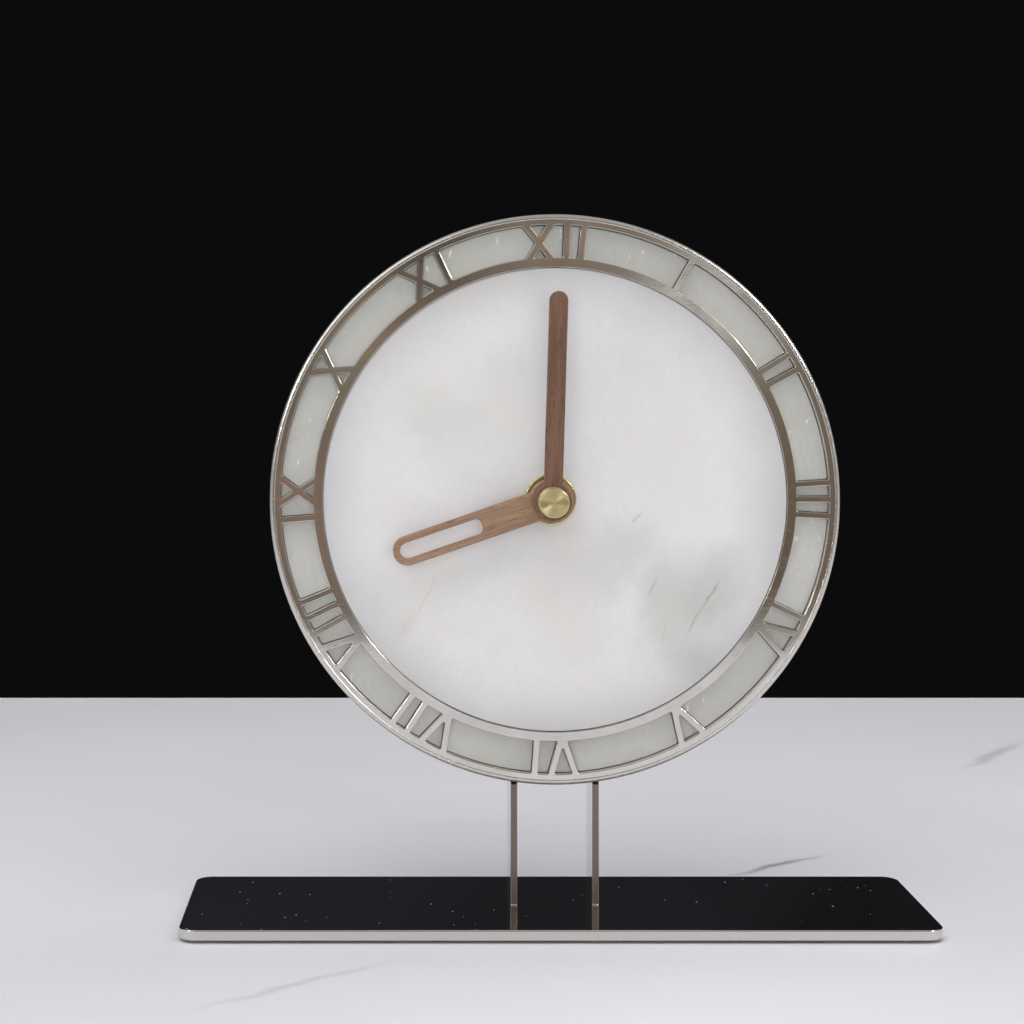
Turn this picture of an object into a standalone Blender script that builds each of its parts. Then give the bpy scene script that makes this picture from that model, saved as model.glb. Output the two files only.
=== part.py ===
"""Mantel clock: a round stone dial in a steel drum, carried by two flat posts on a long base plate.

The drum faces -Y, +Z is up and the origin lies under the middle of the base.
Every moving piece has its origin on its own shaft, which runs along Y.
"""
import math

import bmesh
import bpy
from mathutils import Matrix, Vector

MM = 0.001
TOUCH = 0.3 * MM                     # gap left between pieces that touch

# ---- base and posts -------------------------------------------------------------------
BASE_WIDTH = 258.0 * MM
BASE_DEPTH = 70.0 * MM
BASE_THICKNESS = 3.6 * MM
BASE_CORNER = 6.0 * MM
BASE_BEVEL = 0.4 * MM
PAD_THICKNESS = 1.0 * MM
PAD_RADIUS = 8.0 * MM
PAD_INSET = 16.0 * MM                # pad centre to the edges of the base
BASE_TOP = PAD_THICKNESS + BASE_THICKNESS
POST_WIDTH = 2.4 * MM
POST_DEPTH = 20.0 * MM
POST_SPACING = 28.6 * MM             # between the middles of the two posts
POST_FRONT = -4.2 * MM
POST_STEPS = 4                       # facets of the hollow that cups the drum

# ---- drum -----------------------------------------------------------------------------
DRUM_RADIUS = 100.0 * MM
DRUM_CENTRE = BASE_TOP + 142.3 * MM  # height of the hand shafts
DRUM_FRONT = -6.0 * MM
DRUM_DEPTH = 22.0 * MM
DRUM_SIDES = 72
RIM_WALL = 1.5 * MM
RIM_ROUND = 1.4 * MM
RING_OUTER = DRUM_RADIUS - RIM_WALL - TOUCH
RING_THICKNESS = 5.0 * MM
RING_INNER = 81.4 * MM
BAND_OUTER = 96.1 * MM               # the numerals stand between these two circles
BAND_INNER = 84.5 * MM
INLAY_RECESS = 3.0 * MM
INLAY_THICKNESS = 2.0 * MM
DISC_RECESS = 0.5 * MM
DISC_HOLE = 6.2 * MM                # wide, so that the movement can be moved before it is clamped
BACKING_THICKNESS = 2.0 * MM
COVER_THICKNESS = 1.5 * MM
COVER_WINDOW = 62.0 * MM
COVER_WINDOW_CORNER = 4.0 * MM
COVER_SCREWS = 4
COVER_SCREW_CIRCLE = 88.0 * MM
COVER_SCREW_RADIUS = 2.6 * MM
COVER_SCREW_HEIGHT = 1.4 * MM

# ---- numerals -------------------------------------------------------------------------
NUMERALS = ("I", "II", "III", "IV", "V", "VI", "VII", "VIII", "IX", "X", "XI", "XII")
STROKE = 2.1 * MM
STROKE_PITCH = 5.9 * MM              # between neighbouring strokes, along the outer circle
V_TOP = 8.5 * MM                     # stroke middles at the outer circle
V_FOOT = 1.2 * MM                    # stroke middles at the inner circle
X_TOP = 8.6 * MM
X_FOOT = 7.4 * MM

# ---- hands ----------------------------------------------------------------------------
HAND_THICKNESS = 3.0 * MM
HOUR_FRONT = -13.6 * MM
HOUR_LENGTH = 58.0 * MM
HOUR_WIDTH = 10.3 * MM
HOUR_SLOT_START = 25.6 * MM
HOUR_SLOT_END = 55.5 * MM
HOUR_SLOT_WIDTH = 5.5 * MM
HOUR_SLOT_CORNER = 2.0 * MM          # at the slot's foot
HOUR_BOSS = 7.6 * MM
HOUR_ANGLE = math.radians(251.0)     # clockwise from twelve
MINUTE_FRONT = -17.4 * MM
MINUTE_LENGTH = 72.6 * MM
MINUTE_WIDTH = 6.4 * MM
MINUTE_BOSS = 6.6 * MM
MINUTE_ANGLE = math.radians(1.7)
BUSH_WALL = 1.6 * MM
CAP_RADIUS = 5.2 * MM
CAP_LENGTH = 5.8 * MM
CAP_CHAMFER = 0.4 * MM
CAP_BORE_DEPTH = 3.0 * MM
TIP_STEPS = 12                       # facets of the round tip of a hand
SLOT_STEPS = 3                       # facets of each corner at the slot's foot
BOSS_STEPS = 20

# ---- fixing nut, threaded tube and shafts ----------------------------------------------
NUT_FLANGE = 9.0 * MM
NUT_FLANGE_THICKNESS = 1.6 * MM
NUT_STEP = 7.2 * MM
NUT_LENGTH = 3.6 * MM
NUT_CHAMFER = 0.3 * MM
TUBE_OUTER = 4.0 * MM
TUBE_INNER = 3.0 * MM
TUBE_FRONT = -9.6 * MM
TUBE_SIDES = 24
PIPE_OUTER = 2.6 * MM
PIPE_INNER = 1.85 * MM
PIPE_LEAD = 0.2 * MM                 # the pipe stands this far out of the hour hand
ARBOR = 1.5 * MM
ARBOR_TAIL = 0.8 * MM                # behind the centre wheel
ARBOR_THIN = 0.4 * MM                # of the wheels of the going train
STEM = 1.0 * MM                      # of the knob that sets the hands
STEM_HOLE = 1.6 * MM

# ---- movement: depths are measured along Y, from the front of the drum to its back -------
MOVEMENT_SHIFT = -1.6 * MM           # of the movement and the hands, from the middle of the dial
CASE_SIDE = 56.0 * MM
CASE_CORNER = 3.0 * MM
CASE_FRONT = 2.7 * MM
CASE_PLATE = 1.0 * MM
CASE_WALL = 1.3 * MM
CASE_BACK = 16.0 * MM
CASE_COVER = 1.5 * MM
CASE_JOIN = 0.2 * MM                 # overlap of the solids the front case is fused from
DIVIDER = -11.6 * MM                 # wall between the wheels and the battery
WASHER_RADIUS = 10.0 * MM
WASHER_THICKNESS = 0.8 * MM
BATTERY_RADIUS = 7.1 * MM
BATTERY_LENGTH = 49.0 * MM
BATTERY_HEIGHT = -19.4 * MM
BATTERY_DEPTH = 11.2 * MM
BATTERY_SHIFT = -0.4 * MM
NIPPLE_RADIUS = 2.6 * MM
NIPPLE_LENGTH = 1.0 * MM
CONTACT_THICKNESS = 0.4 * MM
CONTACT_HALF_HEIGHT = 4.0 * MM
CONTACT_INSET = 2.0 * MM
PIVOT_FRONT = 4.1 * MM
PIVOT_BACK = 14.4 * MM
WHEEL = 1.0 * MM                     # thickness of every toothed wheel
PINION_OVERHANG = 0.2 * MM           # a pinion is a little wider than the wheel it drives
KNOB_RADIUS = 7.5 * MM
KNOB_LENGTH = 3.0 * MM
KNOB_FLUTES = 20
KNOB_FLUTE_DEPTH = 0.5 * MM
KNOB_CLEARANCE = 0.5 * MM            # behind the rear cover

# ---- motor and circuit: x and z are measured from the hand shafts --------------------------
MAGNET_RADIUS = 2.4 * MM
MAGNET_LENGTH = 2.3 * MM
MAGNET_STEP = 0.4 * MM               # between the magnet and the first wheel
STATOR_HOLE = 2.9 * MM
STATOR_FRONT = 10.3 * MM
STATOR_THICKNESS = 1.0 * MM
STATOR_ARM = 3.7 * MM                # from the rotor to the edges of the plate around it
STATOR_LEG = 2.6 * MM                # from the rotor to the inner edge of the leg
STATOR_FOOT_LOW = -8.9 * MM
STATOR_FOOT_HIGH = -4.4 * MM
COIL_X = -21.6 * MM
COIL_EDGE = 2.4 * MM                 # of the stator plate beyond the middle of the coil
CORE_HALF_WIDTH = 1.5 * MM
CORE_THICKNESS = 1.2 * MM
WINDING_RADIUS = 3.1 * MM
WINDING_CLEARANCE = 1.0 * MM
BOARD_THICKNESS = 0.9 * MM
BOARD_LOW = (8.0 * MM, -9.8 * MM)
BOARD_HIGH = (26.0 * MM, 1.5 * MM)
CHIP_LOW = (11.5 * MM, -7.5 * MM)
CHIP_SIDE = 5.0 * MM
CHIP_THICKNESS = 0.9 * MM
CRYSTAL_RADIUS = 1.0 * MM
CRYSTAL_LENGTH = 6.0 * MM
CRYSTAL_CENTRE = (21.5 * MM, -3.0 * MM)
BRIDGE_MARGIN = 3.0 * MM
BRIDGE_THICKNESS = 0.9 * MM

# ---- gears: (teeth, module) ---------------------------------------------------------------
MODULE_CENTRE = 0.40 * MM
MODULE_THIRD = 0.36 * MM
MODULE_FOURTH = 0.40 * MM
MODULE_FIRST = 0.30 * MM
MODULE_MINUTE = 0.50 * MM
MODULE_HOUR = 0.48 * MM
TEETH_CENTRE = 48
TEETH_THIRD_PINION = 6
TEETH_THIRD = 45
TEETH_FOURTH_PINION = 6
TEETH_FOURTH = 30
TEETH_FIRST_PINION = 6
TEETH_FIRST = 36
TEETH_ROTOR_PINION = 6
TEETH_CANNON = 12
TEETH_INTERMEDIATE = 36
TEETH_HOUR_PINION = 10
TEETH_HOUR = 40
ADDENDUM = 0.85                      # in modules
DEDENDUM = 1.20
BACKLASH = 0.14 * MM                 # taken off the thickness of each tooth
PRESSURE_ANGLE = math.radians(20.0)

# front face of each wheel, along Y
HOUR_WHEEL_FRONT = 4.2 * MM
INTERMEDIATE_FRONT = 5.9 * MM
CENTRE_WHEEL_FRONT = 7.4 * MM
THIRD_WHEEL_FRONT = 9.1 * MM
FOURTH_WHEEL_FRONT = 10.8 * MM
FIRST_WHEEL_FRONT = 12.3 * MM

# directions of the shafts, anticlockwise from +X as seen from the front
DIRECTION_INTERMEDIATE = math.radians(150.0)
DIRECTION_THIRD = math.radians(30.0)
DIRECTION_FOURTH = math.radians(100.0)
DIRECTION_FIRST = math.radians(170.0)
DIRECTION_ROTOR = math.radians(185.0)

COLOURS = {
    "polished_steel": ("b9b5b0", 0.08, 1.0),
    "numeral_steel": ("8f857c", 0.22, 1.0),
    "white_marble": ("cfcdcc", 0.35, 0.0),
    "grey_marble": ("b0aea9", 0.40, 0.0),
    "walnut": ("80644f", 0.45, 0.0),
    "brass": ("c8b878", 0.25, 1.0),
    "black_board": ("1c1c1d", 0.70, 0.0),
    "black_plastic": ("202124", 0.45, 0.0),
    "black_rubber": ("232323", 0.80, 0.0),
    "white_plastic": ("dcdad2", 0.40, 0.0),
    "steel": ("9a9a98", 0.35, 1.0),
    "copper_wire": ("a85f36", 0.35, 1.0),
    "green_board": ("2d5a3a", 0.50, 0.0),
    "battery_sleeve": ("3a4a66", 0.35, 0.0),
}


# ---- scene and materials --------------------------------------------------------------

def clear_scene():
    """Remove every object of the open file."""
    for item in list(bpy.data.objects):
        bpy.data.objects.remove(item, do_unlink=True)


def linear(channel):
    """Turn one sRGB channel in 0..1 into its linear value."""
    if channel <= 0.04045:
        return channel / 12.92
    return ((channel + 0.055) / 1.055) ** 2.4


def finish(name, look):
    """Make the material of one node from a named look."""
    colour, roughness, metallic = COLOURS[look]
    channels = [int(colour[i:i + 2], 16) / 255 for i in (0, 2, 4)]
    material = bpy.data.materials.new(name + "_" + look)
    material.use_nodes = True
    shader = material.node_tree.nodes["Principled BSDF"]
    shader.inputs["Base Color"].default_value = [linear(c) for c in channels] + [1.0]
    shader.inputs["Roughness"].default_value = roughness
    shader.inputs["Metallic"].default_value = metallic
    return material


def place(name, data, look, parent=None, location=(0, 0, 0), rotation=(0, 0, 0)):
    """Link a finished object, dress it and put it in its place."""
    item = bpy.data.objects.new(name, data)
    bpy.context.scene.collection.objects.link(item)
    item.location = location
    item.rotation_euler = rotation
    item.parent = parent
    data.materials.append(finish(name, look))
    return item


def shaft(name, x, z):
    """An empty on a shaft, which carries every piece that turns with it."""
    empty = bpy.data.objects.new(name, None)
    bpy.context.scene.collection.objects.link(empty)
    empty.empty_display_size = 0.01
    empty.location = (x, 0, z)
    return empty


# ---- solids ---------------------------------------------------------------------------

def slab(name, loops, front, back):
    """A flat plate that faces -Y: closed loops of (x, z), filled, and extruded along Y."""
    outline = bpy.data.curves.new(name, "CURVE")
    outline.dimensions = "2D"
    outline.fill_mode = "BOTH"
    outline.extrude = (back - front) / 2
    for loop in loops:
        spline = outline.splines.new("POLY")
        spline.points.add(len(loop) - 1)
        for point, (x, z) in zip(spline.points, loop):
            point.co = (x, z, 0, 1)
        spline.use_cyclic_u = True
    drawn = bpy.data.objects.new(name, outline)
    bm = bmesh.new()
    bm.from_mesh(drawn.to_mesh())
    drawn.to_mesh_clear()
    bpy.data.objects.remove(drawn)
    bmesh.ops.remove_doubles(bm, verts=bm.verts, dist=0.001 * MM)
    bmesh.ops.rotate(bm, verts=bm.verts, cent=(0, 0, 0), matrix=Matrix.Rotation(math.pi / 2, 3, "X"))
    bmesh.ops.translate(bm, verts=bm.verts, vec=(0, (front + back) / 2, 0))
    bmesh.ops.recalc_face_normals(bm, faces=bm.faces)
    data = bpy.data.meshes.new(name)
    bm.to_mesh(data)
    bm.free()
    return data


def plate(name, loops, front, back, look, parent=None, centre=(0, 0), turn=0.0):
    """Place a plate; turn is its angle about Y, clockwise as seen from the front."""
    data = slab(name, loops, front, back)
    return place(name, data, look, parent, (centre[0], 0, centre[1]), (0, turn, 0))


def turned_mesh(name, profile, sides):
    """A solid turned about Y: profile is a closed loop of (radius, y)."""
    bm = bmesh.new()
    points = [bm.verts.new((radius, y, 0)) for radius, y in profile]
    edges = [bm.edges.new((a, b)) for a, b in zip(points, points[1:] + points[:1])
             if a.co.x > 0 or b.co.x > 0]
    bmesh.ops.spin(bm, geom=points + edges, cent=(0, 0, 0), axis=(0, 1, 0),
                   angle=2 * math.pi, steps=sides, use_duplicate=False)
    bmesh.ops.remove_doubles(bm, verts=bm.verts, dist=0.001 * MM)
    bmesh.ops.recalc_face_normals(bm, faces=bm.faces)
    data = bpy.data.meshes.new(name)
    bm.to_mesh(data)
    bm.free()
    data.shade_smooth()
    data.set_sharp_from_angle(angle=math.radians(30))
    return data


def turned(name, profile, look, sides=32, parent=None, centre=(0, 0)):
    """Place a turned solid on a shaft."""
    return place(name, turned_mesh(name, profile, sides), look, parent, (centre[0], 0, centre[1]))


def tube(inner, outer, front, back):
    """Profile of a plain ring or sleeve."""
    return [(inner, front), (outer, front), (outer, back), (inner, back)]


def rod(radius, front, back):
    """Profile of a plain round bar."""
    return [(0, front), (radius, front), (radius, back), (0, back)]


def box(name, low, high, look, parent=None):
    """A rectangular block between two corners."""
    bm = bmesh.new()
    bmesh.ops.create_cube(bm, size=1.0)
    low, high = Vector(low), Vector(high)
    for vert in bm.verts:
        vert.co = [low[i] if vert.co[i] < 0 else high[i] for i in range(3)]
    data = bpy.data.meshes.new(name)
    bm.to_mesh(data)
    bm.free()
    return place(name, data, look, parent)


def fused(name, pieces, look, parent=None, centre=(0, 0)):
    """Union several objects into one solid and remove the pieces it was made from."""
    first = pieces[0]
    for other in pieces[1:]:
        union = first.modifiers.new("union", "BOOLEAN")
        union.operation = "UNION"
        union.solver = "EXACT"
        union.object = other
    return bake(name, first, pieces, look, parent, centre)


def cut(name, body, cutters, look, parent=None, centre=(0, 0)):
    """Take cutters away from a body and remove the cutters."""
    for cutter in cutters:
        difference = body.modifiers.new("cut", "BOOLEAN")
        difference.operation = "DIFFERENCE"
        difference.solver = "EXACT"
        difference.object = cutter
    return bake(name, body, [body] + cutters, look, parent, centre)


def bake(name, result, used, look, parent, centre):
    """Keep the evaluated shape of an object as a new one, and remove what it was made from."""
    depsgraph = bpy.context.evaluated_depsgraph_get()
    depsgraph.update()
    data = bpy.data.meshes.new_from_object(result.evaluated_get(depsgraph))
    data.transform(result.matrix_world)
    data.materials.clear()
    data.name = name
    for item in used:
        bpy.data.objects.remove(item, do_unlink=True)
    return place(name, data, look, parent, (centre[0], 0, centre[1]))


# ---- outlines -------------------------------------------------------------------------

def circle(radius, sides, centre=(0, 0), start=0.0):
    """A closed circle, clockwise from the top."""
    steps = [start + 2 * math.pi * i / sides for i in range(sides)]
    return [(centre[0] + radius * math.sin(a), centre[1] + radius * math.cos(a)) for a in steps]


def arc(radius, start, end, step=math.radians(3.0)):
    """Points between two angles on a circle, both ends left out."""
    count = max(1, round(abs(end - start) / step))
    angles = [start + (end - start) * i / count for i in range(1, count)]
    return [(radius * math.sin(a), radius * math.cos(a)) for a in angles]


def rounded_rectangle(width, height, corner, steps=6, centre=(0, 0)):
    """A rectangle with round corners, clockwise."""
    points = []
    for quarter, (side, up) in enumerate(((1, 1), (1, -1), (-1, -1), (-1, 1))):
        middle = (centre[0] + side * (width / 2 - corner), centre[1] + up * (height / 2 - corner))
        for i in range(steps + 1):
            angle = math.pi / 2 * (quarter + i / steps)
            points.append((middle[0] + corner * math.sin(angle), middle[1] + corner * math.cos(angle)))
    return points


def inset(points, distance):
    """Move a clockwise outline inwards by a distance."""
    moved = []
    count = len(points)
    for i in range(count):
        before, here, after = (Vector(points[(i + k) % count]) for k in (-1, 0, 1))
        first = (here - before).normalized()
        second = (after - here).normalized()
        normal_1 = Vector((first.y, -first.x))
        normal_2 = Vector((second.y, -second.x))
        shift = (normal_1 + normal_2) / (1 + normal_1.dot(normal_2))
        moved.append(tuple(here + shift * distance))
    return moved


# ---- numerals: each glyph stands on its own radius, u across it (clockwise) and v along it ----

class Glyph:
    """One letter of a numeral: its two outer edges and the closed gaps inside it."""

    def __init__(self, letter, angle):
        self.letter = letter
        self.angle = angle
        half_width, foot = {"I": (0, 0), "V": (V_TOP, V_FOOT), "X": (X_TOP, X_FOOT)}[letter]
        self.top = half_width / 2
        self.foot = foot / 2
        height = BAND_OUTER - BAND_INNER
        travel = self.top + self.foot if letter == "X" else self.top - self.foot
        self.travel = travel
        self.half = STROKE / 2 * math.hypot(height, travel) / height

    def point(self, u, share):
        """From (u, share of the way out) to (x, z)."""
        if share <= 0:
            v = math.sqrt(BAND_INNER ** 2 - u ** 2)
        elif share >= 1:
            v = math.sqrt(BAND_OUTER ** 2 - u ** 2)
        else:
            v = BAND_INNER + share * (BAND_OUTER - BAND_INNER)
        sine, cosine = math.sin(self.angle), math.cos(self.angle)
        return (u * cosine + v * sine, v * cosine - u * sine)

    def edge(self, side):
        """The outer edge on one side (-1 left, +1 right), from the inner circle outwards."""
        path = [(side * (self.foot + self.half), 0.0), (side * (self.top + self.half), 1.0)]
        if self.letter == "X":
            path.insert(1, (side * self.half, self.foot / self.travel))
        return [self.point(u, share) for u, share in path]

    def gaps(self):
        """The closed gaps inside the letter."""
        if self.letter == "V":
            tip = self.point(0, (self.half - self.foot) / self.travel)
            return [self.triangle(tip, self.top - self.half, 1.0)]
        if self.letter == "X":
            upper = self.point(0, (self.foot + self.half) / self.travel)
            lower = self.point(0, (self.foot - self.half) / self.travel)
            return [self.triangle(upper, self.top - self.half, 1.0),
                    self.triangle(lower, self.foot - self.half, 0.0)]
        return []

    def triangle(self, tip, half_base, share):
        """A gap with its base on one of the two circles."""
        left, right = self.point(-half_base, share), self.point(half_base, share)
        return [tip, left, right] if share > 0 else [tip, right, left]


def glyphs():
    """Every letter of the twelve numerals, in clockwise order."""
    widths = {"I": 0, "V": V_TOP, "X": X_TOP}
    result = []
    for hour, text in enumerate(NUMERALS, start=1):
        length = sum(widths[letter] for letter in text) + STROKE_PITCH * (len(text) - 1)
        along = -length / 2
        for letter in text:
            along += widths[letter] / 2
            result.append(Glyph(letter, math.radians(30 * hour) + along / BAND_OUTER))
            along += widths[letter] / 2 + STROKE_PITCH
    return result


def heading(point):
    """Clockwise angle of a point from the top."""
    return math.atan2(point[0], point[1])


def openings():
    """The openings of the chapter ring: large ones between numerals, small ones within them."""
    letters = glyphs()
    large, small = [], []
    for here, following in zip(letters, letters[1:] + letters[:1]):
        left = here.edge(1)
        right = following.edge(-1)
        start, end = heading(left[-1]), heading(right[-1])
        if end < start:
            end += 2 * math.pi
        inner_start, inner_end = heading(left[0]), heading(right[0])
        if inner_end < inner_start:
            inner_end += 2 * math.pi
        loop = left + arc(BAND_OUTER, start, end) + right[::-1]
        loop += arc(BAND_INNER, inner_end, inner_start)
        wide = abs(end - start) > math.radians(8)
        (large if wide else small).append(loop)
        small.extend(here.gaps())
    return large, small


# ---- gears ----------------------------------------------------------------------------

def gear(teeth, module, phase):
    """Outline of an involute gear; phase is the direction of the middle of one tooth.

    A tooth's half angle at radius r is its half angle at the pitch circle plus inv(pressure
    angle) minus inv(angle at r), where inv(a) = tan(a) - a and the angle at r has the cosine
    base radius / r. Below the base circle the flank is radial.
    """
    pitch = teeth * module / 2
    base = pitch * math.cos(PRESSURE_ANGLE)
    tip = pitch + ADDENDUM * module
    root = pitch - DEDENDUM * module
    half_at_pitch = math.pi / (2 * teeth) - BACKLASH / (2 * pitch)

    def involute(angle):
        return math.tan(angle) - angle

    def half_angle(radius):
        angle = math.acos(min(1.0, base / radius))
        return half_at_pitch + involute(PRESSURE_ANGLE) - involute(angle)

    foot = max(base, root)
    radii = [root, foot, tip] if root < base else [root, tip]
    points = []
    for tooth in range(teeth):
        middle = phase + 2 * math.pi * tooth / teeth
        for side, order in ((-1, radii), (1, radii[::-1])):
            for radius in order:
                angle = middle + side * half_angle(radius)
                points.append((radius * math.cos(angle), radius * math.sin(angle)))
    return points


def toothed(name, teeth, module, phase, front, back):
    """A plain gear disc about its own shaft, as a piece to be fused."""
    return plate(name, [gear(teeth, module, phase)], front, back, "white_plastic")


def spindle(name, profile, sides=16):
    """A turned piece about its own shaft, to be fused."""
    return turned(name, profile, "white_plastic", sides)


def facing(teeth):
    """Phase shift that puts a gap, and not a tooth, on the line of centres."""
    return math.pi / teeth


def beside(origin, direction, teeth, other_teeth, module):
    """Centre of a gear that meshes with another in a given direction."""
    distance = (teeth + other_teeth) * module / 2
    return (origin[0] + distance * math.cos(direction), origin[1] + distance * math.sin(direction))


# ---- sub-assemblies ---------------------------------------------------------------------

def build_base():
    """The base plate on its four pads, and the two posts."""
    bm = bmesh.new()
    outline = rounded_rectangle(BASE_WIDTH, BASE_DEPTH, BASE_CORNER)
    face = bm.faces.new([bm.verts.new((x, y, PAD_THICKNESS)) for x, y in outline])
    extruded = bmesh.ops.extrude_face_region(bm, geom=[face])
    raised = [item for item in extruded["geom"] if isinstance(item, bmesh.types.BMVert)]
    bmesh.ops.translate(bm, verts=raised, vec=(0, 0, BASE_THICKNESS))
    bmesh.ops.recalc_face_normals(bm, faces=bm.faces)
    data = bpy.data.meshes.new("base_plate")
    bm.to_mesh(data)
    bm.free()
    base = place("base_plate", data, "polished_steel")
    bevel = base.modifiers.new("edges", "BEVEL")
    bevel.width = BASE_BEVEL
    bevel.segments = 1
    bevel.limit_method = "ANGLE"
    bevel.angle_limit = math.radians(60)
    for x_side, x_name in ((-1, "left"), (1, "right")):
        for y_side, y_name in ((-1, "front"), (1, "back")):
            build_pad(f"foot_pad_{y_name}_{x_name}", x_side, y_side)
        build_post("post_" + x_name, x_side)


def build_pad(name, x_side, y_side):
    """One thin round pad under a corner of the base."""
    bm = bmesh.new()
    depth = PAD_THICKNESS - TOUCH
    bmesh.ops.create_cone(bm, cap_ends=True, segments=24, radius1=PAD_RADIUS,
                          radius2=PAD_RADIUS, depth=depth)
    data = bpy.data.meshes.new(name)
    bm.to_mesh(data)
    bm.free()
    x = x_side * (BASE_WIDTH / 2 - PAD_INSET)
    y = y_side * (BASE_DEPTH / 2 - PAD_INSET)
    place(name, data, "black_rubber", location=(x, y, depth / 2))


def build_post(name, side):
    """One flat bar from the base to the drum, its top end cut to the curve of the rim."""
    middle = side * POST_SPACING / 2
    left, right = middle - POST_WIDTH / 2, middle + POST_WIDTH / 2
    bottom = BASE_TOP + TOUCH
    radius = DRUM_RADIUS + TOUCH
    steps = [right + (left - right) * i / POST_STEPS for i in range(POST_STEPS + 1)]
    top = [(x, DRUM_CENTRE - math.sqrt(radius ** 2 - x ** 2)) for x in steps]
    outline = [(left, bottom), (right, bottom)] + top
    plate(name, [outline], POST_FRONT, POST_FRONT + POST_DEPTH, "polished_steel")


def build_drum():
    """Rim band, chapter ring, stone disc and inlays, backing plate and back cover."""
    axis = (0, DRUM_CENTRE)
    back = DRUM_FRONT + DRUM_DEPTH
    bend = [(DRUM_RADIUS - RIM_ROUND * (1 - math.sin(a)), DRUM_FRONT + RIM_ROUND * (1 - math.cos(a)))
            for a in (math.radians(22.5 * i) for i in range(5))]
    inner = DRUM_RADIUS - RIM_WALL
    rim = [(inner, DRUM_FRONT)] + bend + [(DRUM_RADIUS, back), (inner, back)]
    turned("rim_band", rim, "polished_steel", DRUM_SIDES, centre=axis)

    large, small = openings()
    loops = [circle(RING_OUTER, DRUM_SIDES), circle(RING_INNER, DRUM_SIDES)] + large + small
    ring_back = DRUM_FRONT + RING_THICKNESS
    plate("chapter_ring", loops, DRUM_FRONT, ring_back, "numeral_steel", centre=axis)

    panel_front = DRUM_FRONT + INLAY_RECESS
    panel_back = panel_front + INLAY_THICKNESS
    for number, loop in enumerate(large, start=1):
        outline = inset(loop, TOUCH)
        plate(f"hour_panel_{number:02d}", [outline], panel_front, panel_back, "grey_marble",
              centre=axis)

    disc = tube(DISC_HOLE, RING_INNER - TOUCH, DRUM_FRONT + DISC_RECESS, ring_back)
    turned("dial_disc", disc, "white_marble", DRUM_SIDES, centre=axis)
    board_front = ring_back + TOUCH
    board = tube(DISC_HOLE, RING_OUTER, board_front, board_front + BACKING_THICKNESS)
    turned("backing_plate", board, "black_board", 48, centre=axis)

    cover_back = back - TOUCH
    window = rounded_rectangle(COVER_WINDOW, COVER_WINDOW, COVER_WINDOW_CORNER, 3)
    plate("back_cover", [circle(RING_OUTER, 48), window], cover_back - COVER_THICKNESS, cover_back,
          "black_board", centre=axis)
    places = circle(COVER_SCREW_CIRCLE, COVER_SCREWS, start=math.radians(45))
    head_front = cover_back + TOUCH
    head = [(0, head_front), (COVER_SCREW_RADIUS, head_front),
            (COVER_SCREW_RADIUS, head_front + COVER_SCREW_HEIGHT * 0.5),
            (COVER_SCREW_RADIUS * 0.7, head_front + COVER_SCREW_HEIGHT),
            (0, head_front + COVER_SCREW_HEIGHT)]
    for number, (x, z) in enumerate(places, start=1):
        turned(f"back_cover_screw_{number}", head, "steel", 16, centre=(x, DRUM_CENTRE + z))


def build_hands(hour_shaft, minute_shaft):
    """The two walnut hands with their brass bushes, and the brass cap."""
    hour_bore = PIPE_OUTER + TOUCH + BUSH_WALL
    slot = slot_loop(HOUR_SLOT_START, HOUR_SLOT_END, HOUR_SLOT_WIDTH / 2)
    plate("hour_hand", [hand_outline(HOUR_LENGTH, HOUR_WIDTH, HOUR_BOSS),
                        circle(hour_bore + TOUCH, 24), slot],
          HOUR_FRONT, HOUR_FRONT + HAND_THICKNESS, "walnut", hour_shaft, turn=HOUR_ANGLE)
    turned("hour_hand_bush", tube(PIPE_OUTER + TOUCH, hour_bore, HOUR_FRONT,
                                  HOUR_FRONT + HAND_THICKNESS), "brass", 24, hour_shaft)
    minute_bore = ARBOR + TOUCH + BUSH_WALL
    plate("minute_hand", [hand_outline(MINUTE_LENGTH, MINUTE_WIDTH, MINUTE_BOSS),
                          circle(minute_bore + TOUCH, 24)],
          MINUTE_FRONT, MINUTE_FRONT + HAND_THICKNESS, "walnut", minute_shaft, turn=MINUTE_ANGLE)
    turned("minute_hand_bush", tube(ARBOR + TOUCH, minute_bore, MINUTE_FRONT,
                                    MINUTE_FRONT + HAND_THICKNESS), "brass", 24, minute_shaft)
    cap_back = MINUTE_FRONT - TOUCH
    cap_front = cap_back - CAP_LENGTH
    bore_end = cap_back - CAP_BORE_DEPTH
    cap = [(0, cap_front), (CAP_RADIUS - CAP_CHAMFER, cap_front),
           (CAP_RADIUS, cap_front + CAP_CHAMFER), (CAP_RADIUS, cap_back),
           (ARBOR + TOUCH, cap_back), (ARBOR + TOUCH, bore_end), (0, bore_end)]
    turned("centre_cap", cap, "brass", 32, minute_shaft)


def hand_outline(length, width, boss):
    """A straight bar with a round tip that grows out of a round boss, pointing to the top."""
    half = width / 2
    start = math.asin(half / boss)
    sweep = 2 * math.pi - 2 * start
    around = [start + sweep * i / BOSS_STEPS for i in range(BOSS_STEPS + 1)]
    points = [(boss * math.sin(a), boss * math.cos(a)) for a in around]
    middle = length - half
    tip = [math.pi * i / TIP_STEPS - math.pi / 2 for i in range(TIP_STEPS + 1)]
    points += [(half * math.sin(a), middle + half * math.cos(a)) for a in tip]
    return points


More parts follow.
